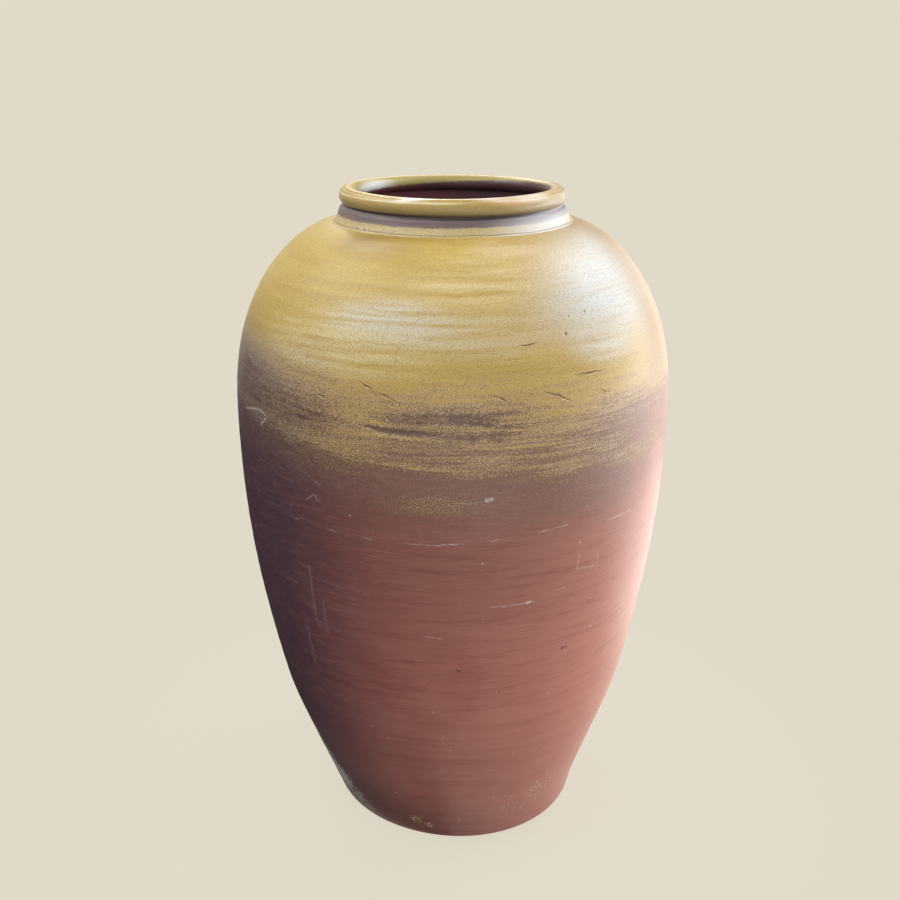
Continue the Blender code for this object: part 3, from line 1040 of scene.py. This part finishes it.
# %% Ash: how much, and its grains
ASH_STEPS = [
    # level where the step starts and ends, and how much ash it adds
    (0.540, 0.600, 0.10), (0.606, 0.628, 0.27), (0.630, 0.740, 0.40), (0.715, 0.795, 0.24),
]
ASH_LOBES = [
    # angle, level, reach across, reach up and down, ash added: sprayed twice, or missed
    (-30, 620, 0.120, 0.040, 0.15), (27, 590, 0.060, 0.020, 0.10),
    (47, 645, 0.100, 0.046, -0.20), (-4, 668, 0.100, 0.026, -0.15),
    (12, 655, 0.050, 0.010, -0.10), (-22, 655, 0.060, 0.030, 0.08),
    (-60, 684, 0.110, 0.050, -0.15), (-38, 668, 0.080, 0.040, -0.08),
    (-14, 724, 0.110, 0.032, 0.12), (92, 632, 0.310, 0.062, -0.26),
    (-5, 563, 0.085, 0.022, 0.24), (8, 681, 0.080, 0.016, -0.16),
]
WAVE_HEIGHT = 0.050  # how far the ash line wanders
SWEEP_STRENGTH = -0.42  # what a sweep of strength 1 does to the amount
GRAIN_SIZE = 1.05  # mm


def patch(tree, place, spot, reach, most):
    """A number that is most at a spot and fades to 0 at its reach along x, y and z."""
    away = add(tree, "VectorMath", {0: place, 1: spot}, operation="SUBTRACT")
    away = add(tree, "VectorMath", {0: away, 1: reach}, operation="DIVIDE")
    away = add(tree, "VectorMath", {0: away}, operation="LENGTH")
    values = {"Value": away, "From Min": 1.0, "From Max": 0.25, "To Max": most}
    return add(tree, "MapRange", values, interpolation_type="SMOOTHSTEP")


def ash_streaks(tree, place, level):
    """Streaks that add and take ash, strongest on the right and in the middle of the mottle."""
    thin = streaky(tree, place, 3.6, 22)
    values = {"From Min": 0.34, "From Max": 0.66, "To Min": -0.17, "To Max": 0.17}
    streaks = add(tree, "MapRange", {"Value": thin, **values})
    patchy = add(tree, "TexNoise", {"Vector": place, "Scale": per_metre(60), "Detail": 2.0})
    patchy = fade(tree, place, RIGHT, 0.08, 0.26, 0.35, 1.05, ease="LINEAR", wander=(patchy, 0.5))
    streaks = add(tree, "Math", {0: streaks, 1: patchy}, operation="MULTIPLY")
    begins = add(tree, "MapRange", {"Value": level, "From Min": 0.585, "From Max": 0.625})
    ends = add(tree, "MapRange", {"Value": level, "From Min": 0.755, "From Max": 0.690})
    return streaks, add(tree, "Math", {0: begins, 1: ends}, operation="MULTIPLY")


def ash_amount(tree, place):
    """How much of the slip is covered at a place, from 0 to 1, before it breaks into grains."""
    level = add(tree, "VectorMath", {0: place, 1: ASH_TILT}, operation="DOT_PRODUCT")
    level = wandering(tree, level, streaky(tree, place, 15, 7, detail=5.0), WAVE_HEIGHT)
    swept = add(tree, "Attribute", attribute_name="sweep")
    amount = add(tree, "Math", {0: swept, 1: SWEEP_STRENGTH}, operation="MULTIPLY")
    for low, high, more in ASH_STEPS:
        values = {"Value": level, "From Min": low, "From Max": high, "To Max": more}
        step = add(tree, "MapRange", values, interpolation_type="SMOOTHSTEP")
        amount = add(tree, "Math", {0: amount, 1: step})
    for angle, height, across, up, more in ASH_LOBES:
        lobe = patch(tree, place, on_wall(angle, height), (across, across, up), more)
        amount = add(tree, "Math", {0: amount, 1: lobe})
    values = {"Vector": place, "Scale": per_metre(7), "Detail": 3.0, "Roughness": 0.6}
    amount = wandering(tree, amount, add(tree, "TexNoise", values), 0.22)
    streaks, middle = ash_streaks(tree, place, level)
    return add(tree, "Math", {0: streaks, 1: middle, 2: amount}, operation="MULTIPLY_ADD")


def ash_grains(tree, place, amount):
    """The amount cut into grains: 1 on a grain of ash and 0 on bare slip."""
    grain = grainy(tree, place, GRAIN_SIZE, detail=1.5, roughness=0.6)
    limit = add(tree, "MapRange", {"Value": amount, "To Min": 0.74, "To Max": 0.26})
    excess = add(tree, "Math", {0: grain, 1: limit}, operation="SUBTRACT")
    return add(tree, "MapRange", {"Value": excess, "From Min": -0.09, "From Max": 0.10})


rise = round(2000 * ASH_TILT[0] * BELLY_RADIUS)
print("the ash line is", rise, "mm higher on the left than on the right")

# %% [markdown]
# ## The ash's own colour
#
# Solid ash is ochre with faint level bands. A painted highlight makes it pale on the right of
# the shoulder, with ochre brush strokes in it, and a few patches hold paler ash, painted
# highlights and the painted shadow of the rim. It is browner at the right edge, and fine dark
# specks of iron show through, more of them on the left.

# %% Ash: colour
# towards the painted highlight on the right of the shoulder
PAINTED_HIGHLIGHT_SIDE = (1.0, -0.3, 0.0)
ASH_PATCHES_AND_PAINTED_LIGHT = [
    # angle, level, reach across, reach up and down, strength, colour: paler ash, and
    # painted highlights at -17 and 41 degrees and the painted shadow of the rim at -31 degrees
    (-17, 772, 0.115, 0.036, 0.80, "#d2cfc2"), (-31, 738, 0.160, 0.050, 0.95, "#dac894"),
    (-31, 848, 0.085, 0.022, 1.00, "#94720f"), (5, 762, 0.130, 0.040, 0.70, "#d2c19c"),
    (8, 814, 0.110, 0.040, 0.85, "#dcc691"), (20, 847, 0.065, 0.016, 0.70, "#dabf94"),
    (41, 746, 0.075, 0.042, 0.70, "#dbd6ca"),
]


def ash_ground(tree, place, bands):
    """Ochre bands with a painted highlight on the right of the shoulder, and its share."""
    tone = add(tree, "MapRange", {"Value": bands, "From Min": 0.34, "From Max": 0.66})
    # painted highlight: pale on the right, fading out down the shoulder
    side = fade(tree, place, PAINTED_HIGHLIGHT_SIDE, 0.090, 0.230)
    above = fade(tree, place, (-0.15, 0.0, -1.0), -0.812, -0.730, 1.0, 0.15)
    pale = add(tree, "Math", {0: side, 1: above}, operation="MULTIPLY")
    ochre = coated(tree, linear("#b89946"), [(tone, "#c3a652")])
    bright = coated(tree, linear("#d0ad76"), [(pale, "#cfcdc4")])
    return add(tree, "Mix", {0: pale, 1: ochre, 2: bright}, data_type="RGBA"), pale


def ash_edge(tree, place):
    """Share of the browner ash near the right edge, less of it behind."""
    limb = fade(tree, place, LIMB_DIRECTION, 0.02, 0.15, most=0.85)
    rear = fade(tree, place, (0.3, 1.0, 0.0), 0.03, 0.20, 1.0, 0.20)
    return add(tree, "Math", {0: limb, 1: rear}, operation="MULTIPLY")


def ash_specks(tree, place):
    """Share of the dark specks."""
    fine = grainy(tree, place, 1.3)
    specks = add(tree, "MapRange", {"Value": fine, "From Min": 0.50, "From Max": 0.64})
    left = fade(tree, place, PAINTED_HIGHLIGHT_SIDE, 0.05, -0.20, 0.46, 0.62, ease="LINEAR")
    return add(tree, "Math", {0: specks, 1: left}, operation="MULTIPLY")


def ash_colour(tree, place):
    """Colour of solid ash, with painted highlights and a painted shadow of the rim."""
    bands = streaky(tree, place, 9, 16)
    colour, pale = ash_ground(tree, place, bands)
    values = {"From Min": 0.48, "From Max": 0.66, "To Max": 0.50}
    strokes = add(tree, "MapRange", {"Value": streaky(tree, place, 3.4, 22), **values})
    # ochre strokes break up the painted highlight
    coats = [(add(tree, "Math", {0: strokes, 1: pale}, operation="MULTIPLY"), "#c8b183")]
    broken = add(tree, "MapRange", {"Value": bands, "From Min": 0.30, "From Max": 0.60})
    # paler ash, painted highlights and the painted shadow of the rim, broken by the bands
    for angle, height, across, up, most, code in ASH_PATCHES_AND_PAINTED_LIGHT:
        share = patch(tree, place, on_wall(angle, height), (across, across, up), most)
        coats.append((add(tree, "Math", {0: share, 1: broken}, operation="MULTIPLY"), code))
    coats += [(ash_edge(tree, place), "#ab8c62"), (ash_specks(tree, place), "#7c6032")]
    return coated(tree, colour, coats)


print(len(ASH_PATCHES_AND_PAINTED_LIGHT), "patches of paler ash, painted highlight and painted shadow")

# %% [markdown]
# ## Marks and dirt
#
# The values kept on the corners come back here through Attribute nodes. A tear shows the bare
# dark clay, its lip caught more ash, and a scratch is rubbed almost white. The foot darkens
# towards the ground, with painted shade on its left, and splashed cement and lime stick to it
# as pale grains in a few patches.

# %% Marks and dirt over a colour
DIRT_PATCHES = [
    # angle, level, reach in metres, amount, colour
    (-76, 112, 0.080, 0.70, "#f4efe4"), (-66, 80, 0.080, 0.80, "#f4efe4"),
    (-57, 52, 0.066, 0.78, "#ece6da"), (-48, 32, 0.046, 0.60, "#cfc7b6"),
    (-42, 18, 0.032, 0.50, "#a89e8e"), (-16, 30, 0.024, 0.50, "#c9b27c"),
    (-10, 22, 0.016, 0.50, "#cbb88f"), (22, 55, 0.075, 0.32, "#b9a698"),
    (38, 75, 0.070, 0.36, "#cdbab0"),
]
DIRT_LIMIT = 1.24  # the noise and the amount together have to pass this to leave a grain


def marked(tree, colour):
    """The colour with tears, lips and scratches laid over it."""
    marks = (("lip", 0.60, "#cfb583"), ("tear", 0.72, "#563a3a"), ("scratch", 0.8, "#dcd2ca"))
    coats = []
    for name, strength, code in marks:
        value = add(tree, "Attribute", attribute_name=name)
        coats.append((add(tree, "Math", {0: value, 1: strength}, operation="MULTIPLY"), code))
    return coated(tree, colour, coats)


def dirt_grains(tree, place):
    """Noise for the grains of dirt, in loose groups."""
    grain = grainy(tree, place, 2.6, roughness=0.7)
    grain = add(tree, "MapRange", {"Value": grain, "From Min": 0.25, "From Max": 0.75})
    values = {"Vector": place, "Scale": per_metre(14), "Detail": 3.0, "Roughness": 0.7}
    spread = add(tree, "TexNoise", values)
    return add(tree, "Math", {0: spread, 1: 0.5, 2: grain}, operation="MULTIPLY_ADD")


def dirty(tree, place, colour):
    """Darker near the ground, painted shade on the left, and grains of cement round the foot."""
    # painted shade: near black on the left, red-brown on the right
    foot_shade_tone = coated(tree, linear("#3a2a2a"), [(fade(tree, place, RIGHT, -0.06, 0.13), "#976f67")])
    # darker towards the ground, reaching higher on the left
    film = fade(tree, place, (0.3, 0.0, 1.0), 0.098, 0.0, most=0.54)
    colour = add(tree, "Mix", {0: film, 1: colour, 2: foot_shade_tone}, data_type="RGBA")
    grain = dirt_grains(tree, place)
    coats = []
    for angle, height, reach, amount, code in DIRT_PATCHES:
        spot = on_wall(angle, height)
        far = add(tree, "VectorMath", {0: place, 1: spot}, operation="DISTANCE")
        values = {"Value": far, "From Min": reach, "From Max": 0.0, "To Max": amount}
        near = add(tree, "MapRange", values, interpolation_type="SMOOTHSTEP")
        heap = add(tree, "Math", {0: grain, 1: near})
        excess = add(tree, "Math", {0: heap, 1: DIRT_LIMIT}, operation="SUBTRACT")
        share = add(tree, "MapRange", {"Value": excess, "From Max": 0.14, "To Max": 0.85})
        coats.append((share, code))
    return coated(tree, colour, coats)


print(len(DIRT_PATCHES), "patches of dirt")

# %% [markdown]
# ## The fired surfaces
#
# Fired slip and ash glaze are both dielectrics with the index of glass, about 1.5. Neither is
# glossy: the slip is satin, and the ash a little smoother where it is solid. Bump comes from
# the brush streaks and the grains, about a tenth of a millimetre high. The inside is bare dark
# red clay, with painted light on the left, painted shade on the right, and a painted shade
# almost black where it turns under the shoulder.

# %% A fired surface
CLAY_IOR = 1.5
BUMP_HEIGHT = 0.00012
SLIP_ROUGHNESS, ASH_ROUGHNESS = 0.44, 0.40


def ceramic(name, build):
    """A new material whose function build(tree, place) returns colour, roughness and height."""
    material, tree, place = new_material(name)
    colour, roughness, height = build(tree, place)
    bumps = add(tree, "Bump", {"Strength": 1.0, "Distance": BUMP_HEIGHT, "Height": height})
    values = {"Base Color": colour, "Roughness": roughness, "IOR": CLAY_IOR, "Normal": bumps}
    add(tree, "OutputMaterial", {"Surface": add(tree, "BsdfPrincipled", values)})
    print("made", name, "with", len(tree.nodes), "nodes")
    return material


def slip_skin(tree, place):
    """Brushed slip alone, with marks and dirt: the foot and the lower wall."""
    colour, height = slip(tree, place)
    return marked(tree, dirty(tree, place, colour)), SLIP_ROUGHNESS, height


iron_slip = ceramic("iron_slip_clay_fired", slip_skin)

# %% Ash over slip
BARE_GAP = ((2, 664), (0.17, 0.17, 0.034))  # place and reach: the gaps are darkest here


def thin_ash(tree, place, colour, amount):
    """The slip's colour under the thin films of ash that lie between the grains."""
    faint = {"Value": amount, "From Max": 0.10, "To Max": 0.30}
    film = {"Value": amount, "From Min": 0.12, "From Max": 0.32, "To Max": 0.50}
    return coated(tree, colour, [
        (add(tree, "MapRange", faint), "#7d5f50"),
        (add(tree, "MapRange", film), "#6a523a"),
        (patch(tree, place, on_wall(*BARE_GAP[0]), BARE_GAP[1], 0.75), "#553a33"),
    ])


def grain_colour(tree, place):
    """Colour of single grains: ochre to buff, and grey where painted shade lies on the left."""
    tints = add(tree, "TexNoise", {"Vector": place, "Scale": per_metre(2.0), "Detail": 2.0})
    tints = add(tree, "MapRange", {"Value": tints, "From Min": 0.40, "From Max": 0.60})
    # painted shade on the left turns the grains grey
    shaded_grey = fade(tree, place, SHADED_LEFT_SIDE, 0.06, 0.27, most=0.80)
    return coated(tree, linear("#c2a164"), [(tints, "#cdb28c"), (shaded_grey, "#a09a98")])


def sprayed_skin(tree, place):
    """Ash grains over slip, which close to solid ochre towards the shoulder."""
    colour, height = slip(tree, place)
    amount = ash_amount(tree, place)
    colour = thin_ash(tree, place, colour, amount)
    grains = ash_grains(tree, place, amount)
    solid = add(tree, "MapRange", {"Value": amount, "From Min": 0.42, "From Max": 0.85})
    loose, closed = grain_colour(tree, place), ash_colour(tree, place)
    ash = add(tree, "Mix", {0: solid, 1: loose, 2: closed}, data_type="RGBA")
    colour = add(tree, "Mix", {0: grains, 1: colour, 2: ash}, data_type="RGBA")
    values = {"Value": grains, "To Min": SLIP_ROUGHNESS, "To Max": ASH_ROUGHNESS}
    height = add(tree, "Math", {0: grains, 1: 0.8, 2: height}, operation="MULTIPLY_ADD")
    return marked(tree, colour), add(tree, "MapRange", values), height


sprayed_ash = ceramic("sprayed_ash_over_slip_fired", sprayed_skin)
ochre_ash = ceramic("ochre_ash_glaze_fired", sprayed_skin)

# %% Bare clay inside
BORE_LIGHT, BORE_SHADE = "#8a4c4f", "#3c252d"  # the bore's left side and its right side


def inside_skin(tree, place):
    """Bare dark red clay with rings for the inside and joints, with painted light and shade."""
    colour, height = slip(tree, place)
    # painted light on the left of the bore and painted shade on its right
    side = fade(tree, place, RIGHT, -0.13, 0.10)
    # painted shade, almost black, below the neck and most on the right
    depth = fade(tree, place, UP, 0.872, 0.850)
    values = {"Value": side, "From Max": 0.45, "To Min": 0.55, "To Max": 1.0}
    far_side = add(tree, "MapRange", values)
    # the painted shade is weaker lower down, a quarter of it below 0.70 m
    shade_by_level = fade(tree, place, UP, 0.70, 0.79, 0.25, 1.0)
    for share in (far_side, shade_by_level):
        depth = add(tree, "Math", {0: depth, 1: share}, operation="MULTIPLY")
    deep = coated(tree, linear(BORE_LIGHT), [(side, BORE_SHADE), (depth, "#140c10")])
    colour = add(tree, "Mix", {0: 0.98, 1: colour, 2: deep}, data_type="RGBA")
    return colour, 0.6, height


inside_clay = ceramic("bare_clay_inside", inside_skin)

# %% [markdown]
# ## Neck
#
# The neck was wiped clean of glaze where a lid or the next pot stood on it in the kiln, which
# left a purple-grey band. Below it the ash is a thin, speckled film with one thin line turned
# into it. A painted highlight makes band and film pale on the right, and a painted shadow
# darkens the corner under the roll.

# %% Material of the neck
BAND_EDGE = 0.8672
RING_LINE, RING_HALF_WIDTH = 0.8592, 0.0006  # a thin line turned into the foot of the neck
ROLL_SHADOW_TILT = 0.05  # the painted shadow under the roll reaches lower in front than at the sides


def neck_highlight(tree, place):
    """How strong the painted highlight on the neck is: most on the right, less again behind."""
    side = fade(tree, place, RIGHT, 0.02, 0.12, most=0.8)
    behind = fade(tree, place, FAR_SIDE, 0.080, 0.118, 1.0, 0.30, ease="LINEAR")
    return add(tree, "Math", {0: side, 1: behind}, operation="MULTIPLY")


def neck_clay(tree, place, level, pale):
    """Colour of the bare wiped band, with the painted highlight."""
    wipes = streaky(tree, place, 2.5, 10, detail=3.0, roughness=0.5)
    values = {"From Min": 0.8745, "From Max": 0.8690, "To Min": 0.55, "To Max": 1.0}
    lower = add(tree, "MapRange", {"Value": level, **values})
    share = add(tree, "Math", {0: pale, 1: lower}, operation="MULTIPLY")
    # painted highlight on the right, weaker up near the roll
    return coated(tree, linear("#5d4e50"), [(wipes, "#786866"), (share, "#ccc7c8")])


def neck_film(tree, place, pale):
    """Colour of the thin speckled ash below the band, with the painted highlight."""
    amount = fade(tree, place, RIGHT, -0.12, -0.01, 0.62, 0.76, ease="LINEAR")
    grains = ash_grains(tree, place, amount)
    # painted highlight on the right
    return coated(tree, linear("#7b6845"), [(grains, "#c4b07a"), (pale, "#e6e1da")])


def neck_skin(tree, place):
    """A bare purple-grey band over a thin speckled film of ash, with painted light and shadow."""
    _, _, height = brushed(tree, place)
    waves = add(tree, "TexNoise", {"Vector": place, "Scale": per_metre(30), "Detail": 3.0})
    fine = add(tree, "TexNoise", {"Vector": place, "Scale": per_metre(1.2), "Detail": 2.0})
    tilted = (-0.004, -0.004, 1.0)
    level = add(tree, "VectorMath", {0: place, 1: tilted}, operation="DOT_PRODUCT")
    level = wandering(tree, wandering(tree, level, waves, 0.003), fine, 0.004)
    values = {"Value": level, "From Min": BAND_EDGE - 0.0010, "From Max": BAND_EDGE + 0.0008}
    bare = add(tree, "MapRange", values)
    pale = neck_highlight(tree, place)
    film, clay = neck_film(tree, place, pale), neck_clay(tree, place, level, pale)
    colour = add(tree, "Mix", {0: bare, 1: film, 2: clay}, data_type="RGBA")
    edge = NECK_TOP + ROLL_SHADOW_TILT * NECK_TOP_RADIUS
    below = (0.0, -ROLL_SHADOW_TILT, 1.0)
    # painted shadow: a dark line on the neck under the roll
    roll_shadow = fade(tree, place, below, edge - 0.0030, edge - 0.0010, most=0.9, ease="LINEAR")
    ring = level_line(tree, place, waves, 0.002, RING_LINE, RING_HALF_WIDTH)
    ring = add(tree, "Math", {0: ring, 1: 0.6}, operation="MULTIPLY")
    colour = coated(tree, colour, [(ring, "#6a5838"), (roll_shadow, "#2a1c1d")])
    return marked(tree, colour), 0.46, height


bare_neck = ceramic("bare_neck_clay_fired", neck_skin)

# %% [markdown]
# ## Rim
#
# The roll is solid ochre with an olive tint and painted shade underneath, and a painted shadow
# along its bottom. Painted highlights lie on its front crest and right end and in a thin line on
# its left front, a painted reflection inside its left lip, and an orange tone on its front right.
# Its glaze stops just over the inner edge, lower on the left, and the bare clay of the bore
# begins there.

# %% Material of the rim
GLAZE_STOP = 0.8922
GLAZE_STOP_TILT = 0.045  # the glaze ran down further inside on the left
# level and half width of a thin painted highlight line on the roll's left front
HIGHLIGHT_LINE_LEVEL, HIGHLIGHT_LINE_HALF_WIDTH = 0.8958, 0.0009
RIM_HIGHLIGHTS_AND_TONE = [
    # place, reach along x, y and z, strength, colour: a painted reflection inside the left lip,
    # painted highlights on the front crest and the right end, and an orange tone on the front right
    ((-0.100, 0.055, 0.8905), (0.045, 0.062, 0.014), 0.90, "#e9e6de"),
    ((0.000, -0.1320, 0.8985), (0.120, 0.011, 0.008), 0.95, "#f4ebdf"),
    ((0.062, -0.1260, 0.8960), (0.070, 0.022, 0.010), 0.55, "#d8ab7c"),
    ((0.092, -0.1060, 0.8985), (0.050, 0.040, 0.010), 0.55, "#ead9c4"),
]


def roll_shade(tree, place, ochre):
    """Ochre with olive and painted shade below, a painted bottom shadow, blots and duller rear."""
    top, bottom = ROLL_LEVEL + 0.007, ROLL_LEVEL - 0.009
    # an olive tint and painted shade on the roll's underside
    under = fade(tree, place, UP, top, bottom, 0.10, 0.75, ease="LINEAR")
    # painted shadow along the roll's bottom, where it meets the neck
    bottom_shadow = fade(tree, place, UP, bottom + 0.0025, bottom - 0.001, most=0.85, ease="LINEAR")
    values = {"Vector": place, "Scale": per_metre(3.5), "Detail": 4.0, "Roughness": 0.7}
    blots = {"Value": add(tree, "TexNoise", values), "From Min": 0.48, "From Max": 0.66}
    blots["To Max"] = 0.60
    return coated(tree, ochre, [
        (under, "#82745a"), (bottom_shadow, "#34241c"), (add(tree, "MapRange", blots), "#8d8468"),
    ])


def highlight_line_share(tree, place, waves, inner):
    """Share of a painted highlight line round the roll, on the left and outside only."""
    ridge = level_line(tree, place, waves, 0.0012, HIGHLIGHT_LINE_LEVEL, HIGHLIGHT_LINE_HALF_WIDTH)
    left = fade(tree, place, RIGHT, 0.03, -0.01, most=0.6, ease="LINEAR")
    outside = add(tree, "Math", {0: left, 1: inner}, operation="SUBTRACT", use_clamp=True)
    return add(tree, "Math", {0: ridge, 1: outside}, operation="MULTIPLY")


def rim_skin(tree, place):
    """Solid ochre over the roll, which ends on the inner side above bare clay."""
    across = add(tree, "VectorMath", {0: place, 1: (1.0, 1.0, 0.0)}, operation="MULTIPLY")
    radius = add(tree, "VectorMath", {0: across}, operation="LENGTH")
    values = {"From Min": ROLL_RING_RADIUS, "From Max": ROLL_RING_RADIUS - 0.004}
    inner = add(tree, "MapRange", {"Value": radius, **values})
    waves = add(tree, "TexNoise", {"Vector": place, "Scale": per_metre(9), "Detail": 3.0})
    low, high = GLAZE_STOP - 0.0005, GLAZE_STOP + 0.0025
    tilted = (-GLAZE_STOP_TILT, 0.0, 1.0)
    below = fade(tree, place, tilted, high, low, ease="LINEAR", wander=(waves, 0.003))
    bare = add(tree, "Math", {0: inner, 1: below}, operation="MULTIPLY")
    rear = fade(tree, place, (0.0, 1.0, 0.0), 0.02, 0.09, most=0.55, ease="LINEAR")
    # a painted highlight line, and the duller rear
    coats = [(highlight_line_share(tree, place, waves, inner), "#e2d3ac"), (rear, "#a2974f")]
    # painted highlights, a painted reflection and an orange tone
    coats += [(patch(tree, place, *shine[:3]), shine[3]) for shine in RIM_HIGHLIGHTS_AND_TONE]
    glazed = coated(tree, roll_shade(tree, place, ash_colour(tree, place)), coats)
    dark, height = slip(tree, place)
    left = fade(tree, place, RIGHT, -0.02, -0.11, ease="LINEAR")
    bore = coated(tree, linear(BORE_SHADE), [(left, BORE_LIGHT)])
    dark = add(tree, "Mix", {0: 0.85, 1: dark, 2: bore}, data_type="RGBA")
    return add(tree, "Mix", {0: bare, 1: glazed, 2: dark}, data_type="RGBA"), 0.34, height


rim_glaze = ceramic("ochre_ash_glaze_rim", rim_skin)

# %% [markdown]
# ## Base slab and foot
#
# The slab is a beaten disc. Only its worn lower edge shows, but it closes the jar, so it is
# a whole piece with its inner floor. Its outline runs over the floor, down the rebate, round
# the worn edge and back to the axis, where the spin's points are merged into one.

# %% Base slab
def slab_outline():
    """Half outline of the slab, from the middle of the floor to the middle of the base."""
    lean = math.atan2(FOOT_TOP_RADIUS - BASE_RADIUS, FOOT_JOINT)
    centre = BASE_RADIUS - BASE_EDGE_RADIUS * math.tan((math.pi / 2 - lean) / 2)
    rebate = inner_radius(SLAB_REBATE)
    points = [(radius, FLOOR_LEVEL, 0) for radius in (0.0, rebate / 2, rebate)]
    points.append((rebate, SLAB_REBATE, 0))
    points += [(wall_radius(z), z, 1) for z in (SLAB_REBATE, 0.0155, 0.013, 0.0105)]
    for i in range(7):
        turn = lean + (math.pi / 2 - lean) * i / 6
        out, up = math.cos(turn), 1 - math.sin(turn)
        points.append((centre + BASE_EDGE_RADIUS * out, BASE_EDGE_RADIUS * up, 1))
    return points + [(centre / 2, 0.0, 0), (0.0, 0.0, 0)]


finished("base_slab", turned(slab_outline(), closed=False), iron_slip)

# %% Foot ring and lower wall
finished(
    "foot_ring", turned(wall_outline(SLAB_REBATE, FOOT_JOINT, bottom_rise=0.0)),
    iron_slip, marks_between(SLAB_REBATE, FOOT_JOINT),
)
finished(
    "lower_wall", turned(wall_outline(FOOT_JOINT, LOWER_JOINT)),
    iron_slip, marks_between(FOOT_JOINT, LOWER_JOINT),
)

# %% [markdown]
# ## Belly and shoulder
#
# These two rings carry the ash and most of the tears. The shoulder's outline needs its points
# closer together near the neck, where the curve leans in fast, so its levels follow a sine.

# %% Belly and shoulder
SHOULDER_ROWS, SHOULDER_INNER_ROWS = 96, 18
BORE_START = NECK_JOINT + 0.003  # where the shoulder's inner edge meets the neck's bore


def closing_in(low, high, count):
    """Levels from low to high that come closer together towards the top."""
    return [low + (high - low) * math.sin(math.pi / 2 * i / count) for i in range(count + 1)]


def shoulder_outline():
    """Outline of the shoulder, down its outer face and up its inner one."""
    outer = closing_in(BELLY_JOINT, NECK_JOINT, SHOULDER_ROWS)
    inner = closing_in(BELLY_JOINT + JOINT_SLANT, NECK_JOINT - JOINT_SLANT, SHOULDER_INNER_ROWS)
    points = [(wall_radius(z), z, 1) for z in reversed(outer)]
    points += [(inner_radius(z), z, 0) for z in inner]
    return points + [(NECK_BORE_RADIUS, BORE_START, 0)]


finished(
    "belly_wall", turned(wall_outline(LOWER_JOINT, BELLY_JOINT)),
    sprayed_ash, marks_between(LOWER_JOINT, BELLY_JOINT),
)
finished(
    "shoulder_wall", turned(shoulder_outline()),
    ochre_ash, marks_between(BELLY_JOINT, NECK_JOINT),
)

# %% [markdown]
# ## Neck collar and rolled rim
#
# The collar's face is hollow, from the roll down to the shoulder, and it is undercut where it
# meets the roll. The roll is a round bead with a fine groove on its upper outer face, which
# the potter's nail left.

# %% Neck collar
NECK_ROWS = 24
UNDERCUT = [  # radius and level of the points between the roll and the collar's face
    (0.1462, 0.8802), (0.1458, 0.8790), (0.1459, 0.8777), (0.1466, 0.8765), (0.1479, 0.8756),
]
below_undercut = UNDERCUT[-1][1] - 0.0005
neck_face = [neck_spot(i / NECK_ROWS) for i in range(NECK_ROWS + 1)]
neck_face = UNDERCUT + [spot for spot in neck_face if spot[1] < below_undercut]
neck_outline = [(radius, level, 1) for radius, level in neck_face]
neck_outline += [(NECK_BORE_RADIUS, z, 0) for z in (BORE_START, 0.868, NECK_TOP + 0.0045)]
finished(
    "neck_collar", turned(neck_outline),
    bare_neck, marks_between(NECK_JOINT, NECK_TOP),
)

# %% Rolled rim
ROLL_ROWS = 40
ROLL_START, ROLL_END = 231, -48  # degrees round the roll, where it sits on the neck
GROOVE_TURN, GROOVE_WIDTH, GROOVE_DEPTH = 56, 7, 0.0010  # degrees round the roll, and metres


def roll_outline():
    """The roll, cut flat where it sits on the neck."""
    points = []
    for i in range(ROLL_ROWS + 1):
        turn = ROLL_START - (ROLL_START - ROLL_END) * i / ROLL_ROWS
        reach = ROLL_RADIUS - GROOVE_DEPTH * math.exp(-(((turn - GROOVE_TURN) / GROOVE_WIDTH) ** 2))
        out, up = reach * math.cos(math.radians(turn)), reach * math.sin(math.radians(turn))
        points.append((ROLL_RING_RADIUS + out, ROLL_LEVEL + up, 1))
    return points


finished("rolled_rim", turned(roll_outline()), rim_glaze)
